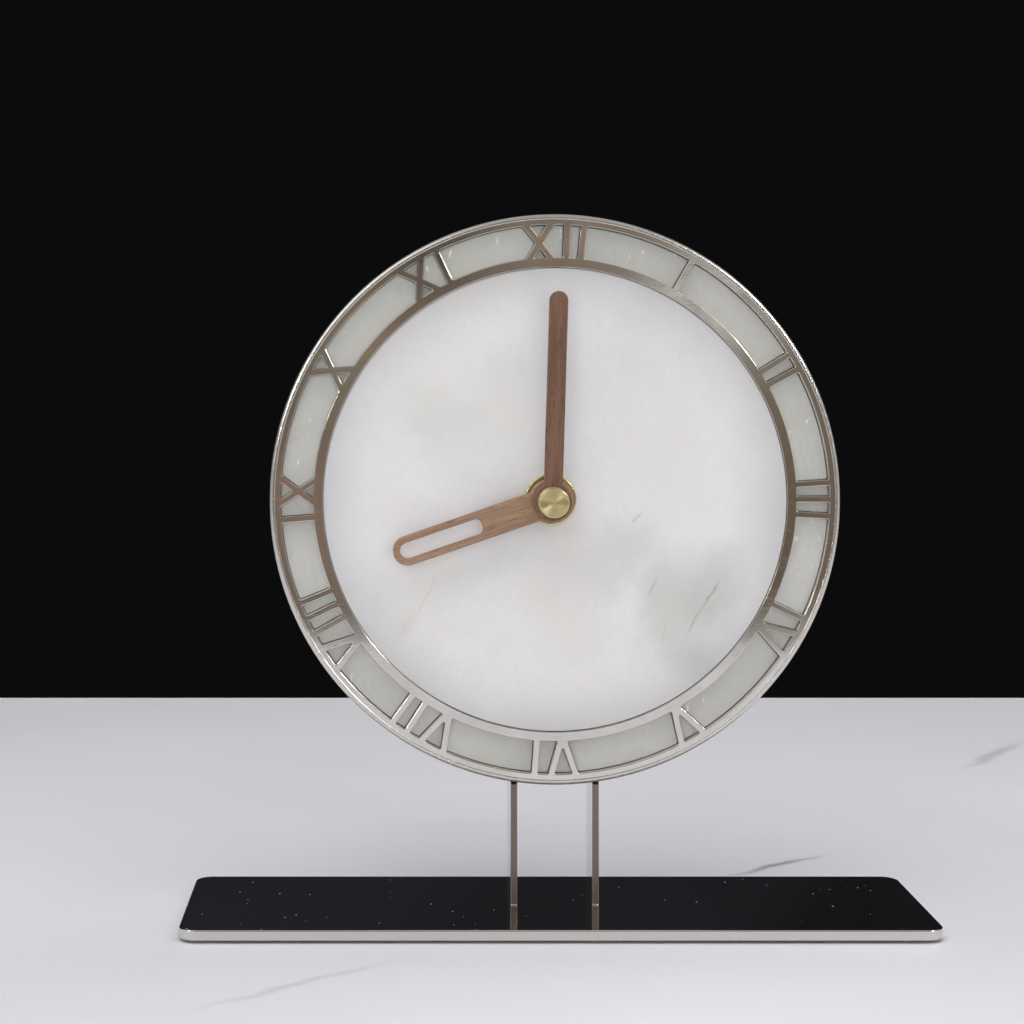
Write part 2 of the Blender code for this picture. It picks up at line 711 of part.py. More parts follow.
def slot_loop(start, end, half):
    """A slot with round corners at its foot and a round end, along the hand."""
    middle = end - half
    r = HOUR_SLOT_CORNER
    turn = [math.pi / 2 * i / SLOT_STEPS for i in range(SLOT_STEPS + 1)]
    tip = [math.pi * i / TIP_STEPS - math.pi / 2 for i in range(TIP_STEPS + 1)]
    points = [(half - r + r * math.cos(a), start + r - r * math.sin(a)) for a in turn]
    points += [(-half + r - r * math.sin(a), start + r - r * math.cos(a)) for a in turn]
    points += [(half * math.sin(a), middle + half * math.cos(a)) for a in tip]
    return points


def build_fixings():
    """The stepped brass nut in front of the dial and the rubber washer behind it."""
    axis = (0, DRUM_CENTRE)
    seat = DRUM_FRONT + DISC_RECESS - TOUCH
    bore = TUBE_OUTER + TOUCH
    step = seat - NUT_FLANGE_THICKNESS
    front = seat - NUT_LENGTH
    nut = [(bore, seat), (bore, front), (NUT_STEP - NUT_CHAMFER, front),
           (NUT_STEP, front + NUT_CHAMFER), (NUT_STEP, step), (NUT_FLANGE - NUT_CHAMFER, step),
           (NUT_FLANGE, step + NUT_CHAMFER), (NUT_FLANGE, seat)]
    turned("fixing_nut", nut, "brass", 36, centre=axis)
    washer_back = CASE_FRONT - TOUCH
    turned("rubber_washer", tube(bore, WASHER_RADIUS, washer_back - WASHER_THICKNESS, washer_back),
           "black_rubber", 32, centre=axis)


def build_case():
    """Front case with the threaded tube, rear cover, battery and its two contacts."""
    half = CASE_SIDE / 2
    plate_back = CASE_FRONT + CASE_PLATE
    outline = rounded_rectangle(CASE_SIDE, CASE_SIDE, CASE_CORNER, 3)
    inner = half - CASE_WALL
    wheel_bay = [(-inner, DIVIDER + CASE_WALL), (-inner, inner), (inner, inner),
                 (inner, DIVIDER + CASE_WALL)]
    battery_bay = [(-inner, -inner), (-inner, DIVIDER), (inner, DIVIDER), (inner, -inner)]
    bore = circle(TUBE_INNER, TUBE_SIDES)
    floor = plate("floor", [outline, bore], CASE_FRONT, plate_back, "black_plastic")
    sides = plate("sides", [outline, wheel_bay, battery_bay], plate_back - CASE_JOIN, CASE_BACK,
                  "black_plastic")
    neck_back = plate_back - 2 * CASE_JOIN
    neck = spindle("neck", tube(TUBE_INNER, TUBE_OUTER, TUBE_FRONT, neck_back), TUBE_SIDES)
    fused("movement_front_case", [floor, sides, neck], "black_plastic", centre=(0, DRUM_CENTRE))

    cover_front = CASE_BACK + TOUCH
    stem = intermediate_centre()
    lid = [(-half, DIVIDER), (-half, half), (half, half), (half, DIVIDER)]
    plate("movement_rear_cover", [lid, circle(STEM_HOLE, 16, centre=stem)], cover_front,
          cover_front + CASE_COVER, "black_plastic", centre=(0, DRUM_CENTRE))

    height = DRUM_CENTRE + BATTERY_HEIGHT
    end = BATTERY_LENGTH / 2
    profile = [(0, -end), (BATTERY_RADIUS, -end), (BATTERY_RADIUS, end), (NIPPLE_RADIUS, end),
               (NIPPLE_RADIUS, end + NIPPLE_LENGTH), (0, end + NIPPLE_LENGTH)]
    data = turned_mesh("battery", profile, 32)
    place("battery", data, "battery_sleeve", location=(BATTERY_SHIFT, BATTERY_DEPTH, height),
          rotation=(0, 0, -math.pi / 2))
    reach = inner - TOUCH
    low_y = plate_back + TOUCH + CONTACT_INSET
    high_y = CASE_BACK - CONTACT_INSET
    for name, side in (("battery_contact_positive", 1), ("battery_contact_negative", -1)):
        outer = side * reach
        face = outer - side * CONTACT_THICKNESS
        box(name, (min(outer, face), low_y, height - CONTACT_HALF_HEIGHT),
            (max(outer, face), high_y, height + CONTACT_HALF_HEIGHT), "steel")


def intermediate_centre():
    """Shaft of the intermediate wheel, relative to the dial centre."""
    return beside((0, 0), DIRECTION_INTERMEDIATE, TEETH_CANNON, TEETH_INTERMEDIATE, MODULE_MINUTE)


def build_wheels(hour_shaft, minute_shaft):
    """The motion work behind the dial and the going train from the rotor to the centre wheel."""
    centre = (0, 0)
    stem = intermediate_centre()
    third = beside(centre, DIRECTION_THIRD, TEETH_CENTRE, TEETH_THIRD_PINION, MODULE_CENTRE)
    fourth = beside(third, DIRECTION_FOURTH, TEETH_THIRD, TEETH_FOURTH_PINION, MODULE_THIRD)
    first = beside(fourth, DIRECTION_FIRST, TEETH_FOURTH, TEETH_FIRST_PINION, MODULE_FOURTH)
    rotor = beside(first, DIRECTION_ROTOR, TEETH_FIRST, TEETH_ROTOR_PINION, MODULE_FIRST)

    hour_pieces = [
        toothed("teeth", TEETH_HOUR, MODULE_HOUR, DIRECTION_INTERMEDIATE, HOUR_WHEEL_FRONT,
                HOUR_WHEEL_FRONT + WHEEL),
        spindle("pipe", rod(PIPE_OUTER, HOUR_FRONT - PIPE_LEAD, HOUR_WHEEL_FRONT + WHEEL / 2),
                TUBE_SIDES)]
    blank = fused("blank", hour_pieces, "white_plastic")
    bore = spindle("bore", rod(PIPE_INNER, HOUR_FRONT - WHEEL, HOUR_WHEEL_FRONT + 2 * WHEEL),
                   TUBE_SIDES)
    cut("hour_wheel", blank, [bore], "white_plastic", hour_shaft)

    arbor_tip = MINUTE_FRONT - CAP_BORE_DEPTH + TOUCH
    cannon_front = INTERMEDIATE_FRONT - PINION_OVERHANG
    fused("centre_wheel", [
        toothed("teeth", TEETH_CENTRE, MODULE_CENTRE, DIRECTION_THIRD, CENTRE_WHEEL_FRONT,
                CENTRE_WHEEL_FRONT + WHEEL),
        toothed("cannon", TEETH_CANNON, MODULE_MINUTE, DIRECTION_INTERMEDIATE, cannon_front,
                CENTRE_WHEEL_FRONT + PINION_OVERHANG),
        spindle("arbor", rod(ARBOR, arbor_tip, CENTRE_WHEEL_FRONT + WHEEL + ARBOR_TAIL))],
        "brass", minute_shaft)

    stem_shaft = shaft("intermediate_shaft", stem[0], DRUM_CENTRE + stem[1])
    back_to_centre = DIRECTION_INTERMEDIATE + math.pi
    pinion_phase = back_to_centre + facing(TEETH_HOUR_PINION)
    knob_front = CASE_BACK + TOUCH + CASE_COVER + KNOB_CLEARANCE
    fused("intermediate_wheel", [
        toothed("teeth", TEETH_INTERMEDIATE, MODULE_MINUTE,
                back_to_centre + facing(TEETH_INTERMEDIATE), INTERMEDIATE_FRONT,
                INTERMEDIATE_FRONT + WHEEL),
        toothed("pinion", TEETH_HOUR_PINION, MODULE_HOUR, pinion_phase,
                HOUR_WHEEL_FRONT - PINION_OVERHANG, INTERMEDIATE_FRONT + PINION_OVERHANG),
        spindle("stem", rod(STEM, INTERMEDIATE_FRONT + PINION_OVERHANG,
                            knob_front + KNOB_LENGTH / 2), 12)],
        "white_plastic", stem_shaft)
    build_knob(stem_shaft, knob_front)

    train = (
        ("third", third, DIRECTION_THIRD, TEETH_THIRD_PINION, MODULE_CENTRE,
         CENTRE_WHEEL_FRONT, TEETH_THIRD, MODULE_THIRD, DIRECTION_FOURTH, THIRD_WHEEL_FRONT),
        ("fourth", fourth, DIRECTION_FOURTH, TEETH_FOURTH_PINION, MODULE_THIRD,
         THIRD_WHEEL_FRONT, TEETH_FOURTH, MODULE_FOURTH, DIRECTION_FIRST, FOURTH_WHEEL_FRONT),
        ("first", first, DIRECTION_FIRST, TEETH_FIRST_PINION, MODULE_FOURTH,
         FOURTH_WHEEL_FRONT, TEETH_FIRST, MODULE_FIRST, DIRECTION_ROTOR, FIRST_WHEEL_FRONT),
    )
    for (name, middle, behind, pinion_teeth, pinion_module, pinion_front,
         teeth, module, ahead, front) in train:
        axle = shaft(name + "_shaft", middle[0], DRUM_CENTRE + middle[1])
        fused(name + "_wheel", [
            toothed("teeth", teeth, module, ahead, front, front + WHEEL),
            toothed("pinion", pinion_teeth, pinion_module,
                    behind + math.pi + facing(pinion_teeth), pinion_front - PINION_OVERHANG,
                    front + PINION_OVERHANG),
            spindle("arbor", rod(ARBOR_THIN, PIVOT_FRONT, PIVOT_BACK), 8)],
            "white_plastic", axle)

    rotor_shaft = shaft("rotor_shaft", rotor[0], DRUM_CENTRE + rotor[1])
    magnet_back = FIRST_WHEEL_FRONT - MAGNET_STEP
    fused("rotor", [
        toothed("pinion", TEETH_ROTOR_PINION, MODULE_FIRST,
                DIRECTION_ROTOR + math.pi + facing(TEETH_ROTOR_PINION),
                magnet_back - CASE_JOIN, FIRST_WHEEL_FRONT + WHEEL + PINION_OVERHANG),
        spindle("magnet", rod(MAGNET_RADIUS, magnet_back - MAGNET_LENGTH, magnet_back), 24),
        spindle("arbor", rod(ARBOR_THIN, PIVOT_FRONT, PIVOT_BACK), 8)],
        "steel", rotor_shaft)
    build_motor(rotor)
    build_bridge((third, fourth, first, rotor))


def build_knob(stem_shaft, front):
    """The fluted knob that sets the hands, on the stem of the intermediate wheel."""
    points = []
    for i in range(KNOB_FLUTES * 4):
        radius = KNOB_RADIUS - (KNOB_FLUTE_DEPTH if i % 4 in (2, 3) else 0)
        angle = 2 * math.pi * i / (KNOB_FLUTES * 4)
        points.append((radius * math.cos(angle), radius * math.sin(angle)))
    plate("setting_knob", [points, circle(STEM + TOUCH, 12)], front, front + KNOB_LENGTH,
          "white_plastic", stem_shaft)


def build_motor(rotor):
    """Stator plate, coil core and winding, circuit board, quartz crystal and driver chip."""
    axis = (0, DRUM_CENTRE)
    arm_low, arm_high = rotor[1] - STATOR_ARM, rotor[1] + STATOR_ARM
    leg_left, leg_right = rotor[0] - STATOR_LEG, rotor[0] + STATOR_ARM
    left = COIL_X - COIL_EDGE
    stator = [(left, arm_low), (left, arm_high), (leg_right, arm_high),
              (leg_right, STATOR_FOOT_LOW), (left, STATOR_FOOT_LOW), (left, STATOR_FOOT_HIGH),
              (leg_left, STATOR_FOOT_HIGH), (leg_left, arm_low)]
    stator_back = STATOR_FRONT + STATOR_THICKNESS
    plate("stator_plate", [stator, circle(STATOR_HOLE, 24, centre=rotor)], STATOR_FRONT,
          stator_back, "steel", centre=axis)

    core_left, core_right = COIL_X - CORE_HALF_WIDTH, COIL_X + CORE_HALF_WIDTH
    core_front = stator_back + TOUCH
    core_back = core_front + CORE_THICKNESS
    box("coil_core", (core_left, core_front, DRUM_CENTRE + STATOR_FOOT_LOW),
        (core_right, core_back, DRUM_CENTRE + arm_high), "steel")
    low, high = STATOR_FOOT_HIGH + WINDING_CLEARANCE, arm_low - WINDING_CLEARANCE
    winding = spindle("winding", rod(WINDING_RADIUS, low, high), 24)
    winding.rotation_euler = (math.pi / 2, 0, 0)
    winding.location = (COIL_X, (core_front + core_back) / 2, 0)
    hole = box("hole", (core_left - TOUCH, core_front - TOUCH, low - WINDING_CLEARANCE),
               (core_right + TOUCH, core_back + TOUCH, high + WINDING_CLEARANCE), "steel")
    bpy.context.view_layer.update()
    cut("coil_winding", winding, [hole], "copper_wire", centre=axis)

    board_front = PIVOT_BACK
    box("circuit_board", (BOARD_LOW[0], board_front, DRUM_CENTRE + BOARD_LOW[1]),
        (BOARD_HIGH[0], board_front + BOARD_THICKNESS, DRUM_CENTRE + BOARD_HIGH[1]), "green_board")
    under = board_front - TOUCH
    chip_x, chip_z = CHIP_LOW[0], DRUM_CENTRE + CHIP_LOW[1]
    box("driver_chip", (chip_x, under - CHIP_THICKNESS, chip_z),
        (chip_x + CHIP_SIDE, under, chip_z + CHIP_SIDE), "black_plastic")
    can = turned_mesh("quartz_crystal", rod(CRYSTAL_RADIUS, 0, CRYSTAL_LENGTH), 16)
    bottom = DRUM_CENTRE + CRYSTAL_CENTRE[1] - CRYSTAL_LENGTH / 2
    place("quartz_crystal", can, "steel", location=(CRYSTAL_CENTRE[0], under - CRYSTAL_RADIUS, bottom),
          rotation=(math.pi / 2, 0, 0))


def build_bridge(pivots):
    """The plate that carries the rear pivots of the going train."""
    xs = [x for x, _ in pivots]
    zs = [z for _, z in pivots]
    width = max(xs) - min(xs) + 2 * BRIDGE_MARGIN
    height = max(zs) - min(zs) + 2 * BRIDGE_MARGIN
    middle = ((max(xs) + min(xs)) / 2, (max(zs) + min(zs)) / 2)
    front = PIVOT_BACK + TOUCH
    plate("train_bridge", [rounded_rectangle(width, height, BRIDGE_MARGIN, 4, middle)], front,
          front + BRIDGE_THICKNESS, "black_plastic", centre=(0, DRUM_CENTRE))


def main():
    """Build the whole clock."""
    clear_scene()
    build_base()
    build_drum()
    still = set(bpy.data.objects)
    build_fixings()
    build_case()
    hour_shaft = shaft("hour_shaft", 0, DRUM_CENTRE)
    minute_shaft = shaft("minute_shaft", 0, DRUM_CENTRE)
    build_wheels(hour_shaft, minute_shaft)
    build_hands(hour_shaft, minute_shaft)
    for item in set(bpy.data.objects) - still:
        if item.parent is None:
            item.location.x += MOVEMENT_SHIFT


main()
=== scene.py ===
"""Looks of the mantel clock: fine meshes and finishes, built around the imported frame.

Lengths are metres. The dial faces -Y and angles on it run clockwise from twelve.
"""

import logging
import math
from dataclasses import dataclass, field
from enum import Enum
from typing import Any, Sequence

import bmesh
import bpy
import numpy as np
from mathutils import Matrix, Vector
from mathutils.geometry import tessellate_polygon


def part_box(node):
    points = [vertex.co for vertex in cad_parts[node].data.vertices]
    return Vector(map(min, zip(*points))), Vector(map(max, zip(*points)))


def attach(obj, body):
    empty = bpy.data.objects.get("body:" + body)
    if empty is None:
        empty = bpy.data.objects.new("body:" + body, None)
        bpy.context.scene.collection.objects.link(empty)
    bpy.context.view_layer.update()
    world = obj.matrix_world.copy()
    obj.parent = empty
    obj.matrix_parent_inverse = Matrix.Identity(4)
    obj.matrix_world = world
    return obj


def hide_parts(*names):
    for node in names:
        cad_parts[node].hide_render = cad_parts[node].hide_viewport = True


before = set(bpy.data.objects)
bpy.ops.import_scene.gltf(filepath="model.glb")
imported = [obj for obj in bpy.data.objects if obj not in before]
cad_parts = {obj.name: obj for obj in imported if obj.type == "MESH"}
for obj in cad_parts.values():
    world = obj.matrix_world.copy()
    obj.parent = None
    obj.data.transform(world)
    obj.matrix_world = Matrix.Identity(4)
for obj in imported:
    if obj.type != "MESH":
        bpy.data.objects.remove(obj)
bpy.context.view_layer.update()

LOG = logging.getLogger("mantel_clock")
MM = 0.001
MERGE = 1e-7
QUARTER_TURN = 0.25
Array = np.ndarray


class Body(Enum):
    """The moving groups of the clock that new pieces ride on."""

    CLOCK = "clock_body"
    HOUR = "hour_hand_body"
    MINUTE = "minute_hand_body"
    KNOB = "intermediate_body"


# ---- measures taken from the frame -----------------------------------------------------

@dataclass(frozen=True)
class Box:
    """The box around one CAD node."""

    low: Vector
    high: Vector

    @classmethod
    def of(cls, node: str) -> "Box":
        """Box of a node, by its name."""
        return cls(*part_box(node))

    @property
    def size(self) -> Vector:
        """Lengths of the three sides."""
        return self.high - self.low

    @property
    def middle(self) -> Vector:
        """Centre of the box."""
        return (self.low + self.high) / 2


@dataclass(frozen=True)
class Plane:
    """A drawing plane: u and v lie in it and w is the depth that a plate grows into."""

    origin: tuple[float, float, float]
    u: tuple[float, float, float] = (1, 0, 0)
    v: tuple[float, float, float] = (0, 0, 1)
    w: tuple[float, float, float] = (0, 1, 0)

    def place(self, points: Array) -> Array:
        """World points of (..., 3) plane points: origin + u a + v b + w c.

        Args:
            points: plane coordinates in the last axis.

        Returns:
            World coordinates of the same shape.
        """
        return points @ np.array([self.u, self.v, self.w], float) + np.array(self.origin, float)


def dial_plane(x: float, z: float, front: float) -> Plane:
    """A plane parallel to the dial whose depth starts at y = front."""
    return Plane((x, front, z))


# ---- outlines ----------------------------------------------------------------------------

def ring(radius: float, count: int = 256, centre: tuple[float, float] = (0, 0)) -> Array:
    """Anticlockwise circle: centre + radius (cos t, sin t).

    Args:
        radius: radius of the circle.
        count: number of points.
        centre: middle of the circle.

    Returns:
        Points of shape (count, 2).
    """
    t = np.arange(count) * 2 * np.pi / count
    return np.stack([centre[0] + radius * np.cos(t), centre[1] + radius * np.sin(t)], 1)


def arc(radius: float, start: float, end: float, step: float = math.radians(1.5)) -> Array:
    """Inner points of a dial arc: radius (sin t, cos t) for t between two clock angles.

    Args:
        radius: radius of the arc.
        start: first angle, left out.
        end: last angle, left out.
        step: largest angle between points.

    Returns:
        Points of shape (n, 2).
    """
    count = max(2, round(abs(end - start) / step))
    t = np.linspace(start, end, count + 1)[1:-1]
    return radius * np.stack([np.sin(t), np.cos(t)], 1)


def miter(loop: Array) -> Array:
    """Offset of each point for a unit step to the left of the path.

    The sum of the two neighbouring left normals over one plus their dot product.

    Args:
        loop: closed loop of shape (n, 2).

    Returns:
        Offsets of shape (n, 2).
    """
    along = np.roll(loop, -1, 0) - loop
    along /= np.linalg.norm(along, axis=1, keepdims=True)
    after = np.stack([-along[:, 1], along[:, 0]], 1)
    before = np.roll(after, 1, 0)
    return (before + after) / (1 + np.sum(before * after, 1, keepdims=True))


def softened(points: Array, radius: float | Array, steps: int = 4, least: float = 0.2) -> Array:
    """Round the corners of a closed outline with circular arcs.

    A corner that turns by more than the least angle becomes an arc of the radius, tangent to both
    sides, with one more point on each side so that the flats beside it shade as flats.

    Args:
        points: closed outline of shape (n, 2).
        radius: one radius, or one for each point; 0 keeps a corner.
        steps: segments of each arc.
        least: smallest turn, in radians, that is rounded.

    Returns:
        The outline with its corners rounded, of shape (m, 2).
    """
    points = np.asarray(points, float)
    radius = np.broadcast_to(np.asarray(radius, float), len(points))
    back, ahead = np.roll(points, 1, 0) - points, np.roll(points, -1, 0) - points
    room = np.minimum(np.linalg.norm(back, axis=1), np.linalg.norm(ahead, axis=1)) * 0.42
    back /= np.linalg.norm(back, axis=1, keepdims=True)
    ahead /= np.linalg.norm(ahead, axis=1, keepdims=True)
    turn = np.arctan2(-back[:, 0] * ahead[:, 1] + back[:, 1] * ahead[:, 0],
                      -np.sum(back * ahead, 1))
    tangent = np.minimum(radius * np.tan(np.abs(turn) / 2), room)
    live = (np.abs(turn) > least) & (radius > 0)
    bend = np.where(live, tangent / np.maximum(np.tan(np.abs(turn) / 2), 1e-9), 0)
    side = np.sign(turn)[:, None] * np.stack([back[:, 1], -back[:, 0]], 1)
    first = points + back * tangent[:, None]
    centre = first + side * bend[:, None]
    share = np.linspace(0, 1, steps + 1)
    angle = turn[:, None] * share
    spoke = first - centre
    cosine, sine = np.cos(angle), np.sin(angle)
    curve = np.stack([centre[:, :1] + spoke[:, :1] * cosine - spoke[:, 1:] * sine,
                      centre[:, 1:] + spoke[:, :1] * sine + spoke[:, 1:] * cosine], 2)
    near = points + back * (tangent * 1.35)[:, None]
    far = points + ahead * (tangent * 1.35)[:, None]
    full = np.concatenate([near[:, None], curve, far[:, None]], 1)
    full = np.where(live[:, None, None], full, points[:, None])
    keep = np.repeat(live[:, None], steps + 3, 1)
    keep[:, 0] = True
    return full[keep]


def rounded_box(width: float, height: float, corner: float, steps: int = 8,
                centre: tuple[float, float] = (0, 0)) -> Array:
    """Anticlockwise rectangle with round corners.

    Args:
        width: length along u.
        height: length along v.
        corner: corner radius.
        steps: segments of each corner.
        centre: middle of the rectangle.

    Returns:
        Points of shape (n, 2).
    """
    signs = np.array([[-1, -1], [1, -1], [1, 1], [-1, 1]], float)
    corners = signs * [width / 2, height / 2] + np.asarray(centre)
    return softened(corners, corner, steps)


# ---- meshes --------------------------------------------------------------------------------

def make_mesh(name: str, verts: Array, faces: Sequence[Sequence[int]], closed: bool = True) -> bpy.types.Mesh:
    """Mesh from arrays, with doubles merged and normals facing outwards.

    Args:
        name: name of the mesh.
        verts: points of shape (n, 3).
        faces: point indices of each face.
        closed: whether the surface is closed and its normals can be worked out.

    Returns:
        The finished mesh, shaded smooth.
    """
    mesh = bpy.data.meshes.new(name)
    mesh.from_pydata(verts.reshape(-1, 3).tolist(), [], faces)
    bm = bmesh.new()
    bm.from_mesh(mesh)
    bmesh.ops.remove_doubles(bm, verts=bm.verts, dist=MERGE)
    if closed:
        bmesh.ops.recalc_face_normals(bm, faces=bm.faces)
    bm.to_mesh(mesh)
    bm.free()
    mesh.shade_smooth()
    return mesh


def grid_faces(rows: int, columns: int, start: int = 0, loop_rows: bool = False) -> list[tuple[int, ...]]:
    """Quads of a grid whose columns close on themselves.

    Args:
        rows: number of rows.
        columns: points in each row.
        start: index of the first point.
        loop_rows: whether the last row joins the first.

    Returns:
        Four indices for each face.
    """
    last = rows if loop_rows else rows - 1
    r, c = np.meshgrid(np.arange(last), np.arange(columns), indexing="ij")
    right, below = (c + 1) % columns, (r + 1) % rows
    quads = np.stack([r * columns + c, r * columns + right, below * columns + right,
                      below * columns + c], 2) + start
    return [tuple(q) for q in quads.reshape(-1, 4).tolist()]


def edge_profile(depth: float, edge: float, steps: int) -> Array:
    """Profile of a plate's side with both edges rounded.

    Quarter circles: inset = edge (1 - sin t), depth = edge (1 - cos t), and the mirror image at the
    back, with a support row on each flat beside them.

    Args:
        depth: thickness of the plate.
        edge: radius of the rounded edges.
        steps: segments of each edge.

    Returns:
        Rows of (inset, depth).
    """
    t = np.linspace(0, np.pi / 2, steps + 1)
    front = np.stack([edge * (1 - np.sin(t)), edge * (1 - np.cos(t))], 1)
    front = np.concatenate([[[edge * 1.3, 0]], front, [[0, edge * 1.3]]])
    back = front[::-1] * [1, -1] + [0, depth]
    return np.concatenate([front, back])


def plate_mesh(name: str, loops: Sequence[Array], depth: float, plane: Plane, edge: float = 0.1 * MM,
               steps: int = 3, profile: Array | None = None) -> bpy.types.Mesh:
    """A plate: its edge profile is carried along each outline, and both faces are filled.

    Point = loop + miter x inset, at the profile's depth. The material lies to the left of each
    outline, so outer outlines run anticlockwise and holes clockwise.

    Args:
        name: name of the mesh.
        loops: outlines, the outer one first.
        depth: thickness of the plate.
        plane: where the plate lies.
        edge: radius of its edges.
        steps: segments of each rounded edge.
        profile: rows of (inset, depth) in place of the rounded one.

    Returns:
        The closed mesh.
    """
    rows = edge_profile(depth, edge, steps) if profile is None else profile
    verts, faces, fronts, start = [], [], [], 0
    for loop in loops:
        offset = miter(loop)
        flat = loop[None] + offset[None] * rows[:, 0, None, None]
        deep = np.broadcast_to(rows[:, 1, None, None], flat.shape[:2] + (1,))
        verts.append(np.concatenate([flat, deep], 2).reshape(-1, 3))
        faces += grid_faces(len(rows), len(loop), start)
        fronts.append((flat[0], start, (len(rows) - 1) * len(loop)))
        start += len(rows) * len(loop)
    near = np.concatenate([np.arange(len(f)) + s for f, s, _ in fronts])
    far = np.concatenate([np.arange(len(f)) + s + e for f, s, e in fronts])
    polygons = [[Vector((x, y, 0)) for x, y in f] for f, _, _ in fronts]
    for a, b, c in tessellate_polygon(polygons):
        faces.append((int(near[a]), int(near[b]), int(near[c])))
        faces.append((int(far[a]), int(far[c]), int(far[b])))
    return make_mesh(name, plane.place(np.concatenate(verts)), faces)


def turned_mesh(name: str, profile: Array, plane: Plane, segments: int = 96) -> bpy.types.Mesh:
    """A turned solid: a closed profile of (radius, depth) swept once about the plane's w axis.

    Point = (r cos t, r sin t, d). A UV map holds the share of the turn and the profile's row, which
    gives the tangent of the turning marks.

    Args:
        name: name of the mesh.
        profile: rows of (radius, depth); rows at radius 0 close the poles.
        plane: where the axis stands.
        segments: steps round the axis.

    Returns:
        The closed mesh.
    """
    t = np.arange(segments) * 2 * np.pi / segments
    radius, deep = profile[:, :1], profile[:, 1:]
    points = np.stack([radius * np.cos(t), radius * np.sin(t), deep + 0 * t], 2)
    open_end = abs(profile[0, 0]) < MERGE and abs(profile[-1, 0]) < MERGE
    faces = grid_faces(len(profile), segments, loop_rows=not open_end)
    mesh = make_mesh(name, plane.place(points.reshape(-1, 3)), faces)
    add_turn_uv(mesh, plane)
    return mesh


def add_turn_uv(mesh: bpy.types.Mesh, plane: Plane) -> None:
    """UV map of a turned piece: u is the angle about its axis over a full turn, v its radius.

    Args:
        mesh: the turned mesh.
        plane: its axis.
    """
    co = np.zeros(len(mesh.vertices) * 3)
    mesh.vertices.foreach_get("co", co)
    local = (co.reshape(-1, 3) - np.array(plane.origin)) @ np.array([plane.u, plane.v, plane.w], float).T
    corner = np.zeros(len(mesh.loops), int)
    mesh.loops.foreach_get("vertex_index", corner)
    face = np.repeat(np.arange(len(mesh.polygons)), [len(p.vertices) for p in mesh.polygons])
    angle = np.arctan2(local[:, 1], local[:, 0])[corner] / (2 * np.pi)
    radius = np.hypot(local[:, 0], local[:, 1])[corner]
    total = np.bincount(face, np.where(radius > MERGE, np.cos(angle * 2 * np.pi), 0))
    total_sine = np.bincount(face, np.where(radius > MERGE, np.sin(angle * 2 * np.pi), 0))
    middle = np.arctan2(total_sine, total)[face] / (2 * np.pi)
    angle = np.where(radius > MERGE, angle, middle)
    angle = middle + (angle - middle + 0.5) % 1.0 - 0.5
    layer = mesh.uv_layers.new(name="turn")
    layer.data.foreach_set("uv", np.stack([angle, radius / (10 * MM)], 1).ravel())


def swept_mesh(name: str, path: Array, radius: float | Array, sides: int = 12) -> bpy.types.Mesh:
    """A round wire along an open path, closed at both ends.

    Each ring is centre + radius (n cos t + b sin t), with n and b square to the path, and the two
    end rings shrink to the path's ends.

    Args:
        name: name of the mesh.
        path: points of shape (n, 3).
        radius: one radius or one for each point.
        sides: points in each ring.

    Returns:
        The closed mesh.
    """
    along = np.gradient(path, axis=0)
    along /= np.linalg.norm(along, axis=1, keepdims=True)
    guide = np.array([0.31, 0.17, 0.94])
    first = np.cross(along, guide)
    first /= np.linalg.norm(first, axis=1, keepdims=True)
    second = np.cross(along, first)
    t = np.arange(sides) * 2 * np.pi / sides
    size = np.broadcast_to(np.asarray(radius, float), len(path))[:, None, None]
    cosine, sine = np.cos(t)[:, None], np.sin(t)[:, None]
    rings = path[:, None] + size * (first[:, None] * cosine + second[:, None] * sine)
    ends = [np.repeat(path[i:i + 1, None] if i == 0 else path[-1:, None], sides, 1) for i in (0, -1)]
    rings = np.concatenate([ends[0], rings, ends[1]])
    return make_mesh(name, rings.reshape(-1, 3), grid_faces(len(rings), sides))


# ---- finishes ------------------------------------------------------------------------------

def linear(colour: str) -> tuple[float, float, float, float]:
    """Linear RGBA of an sRGB hex colour.

    Args:
        colour: six hex digits.

    Returns:
        The four linear channels.
    """
    srgb = np.array([int(colour[i:i + 2], 16) for i in (0, 2, 4)]) / 255
    values = np.where(srgb <= 0.04045, srgb / 12.92, ((srgb + 0.055) / 1.055) ** 2.4)
    return (*values.tolist(), 1.0)


def add(tree: bpy.types.NodeTree, kind: str, values: dict[Any, Any] | None = None,
        **settings: Any) -> bpy.types.Node:
    """Add a node, set it up and link it.

    Args:
        tree: the material's node tree.
        kind: type of the node.
        values: constants, or output sockets to link, by input name or number.
        settings: properties of the node.

    Returns:
        The new node.
    """
    node = tree.nodes.new(kind)
    for key, value in settings.items():
        setattr(node, key, value)
    for key, value in (values or {}).items():
        if isinstance(value, bpy.types.NodeSocket):
            tree.links.new(value, node.inputs[key])
        else:
            node.inputs[key].default_value = value
    return node


def per(length: float) -> float:
    """Scale of a texture whose features are this long."""
    return 1.0 / length


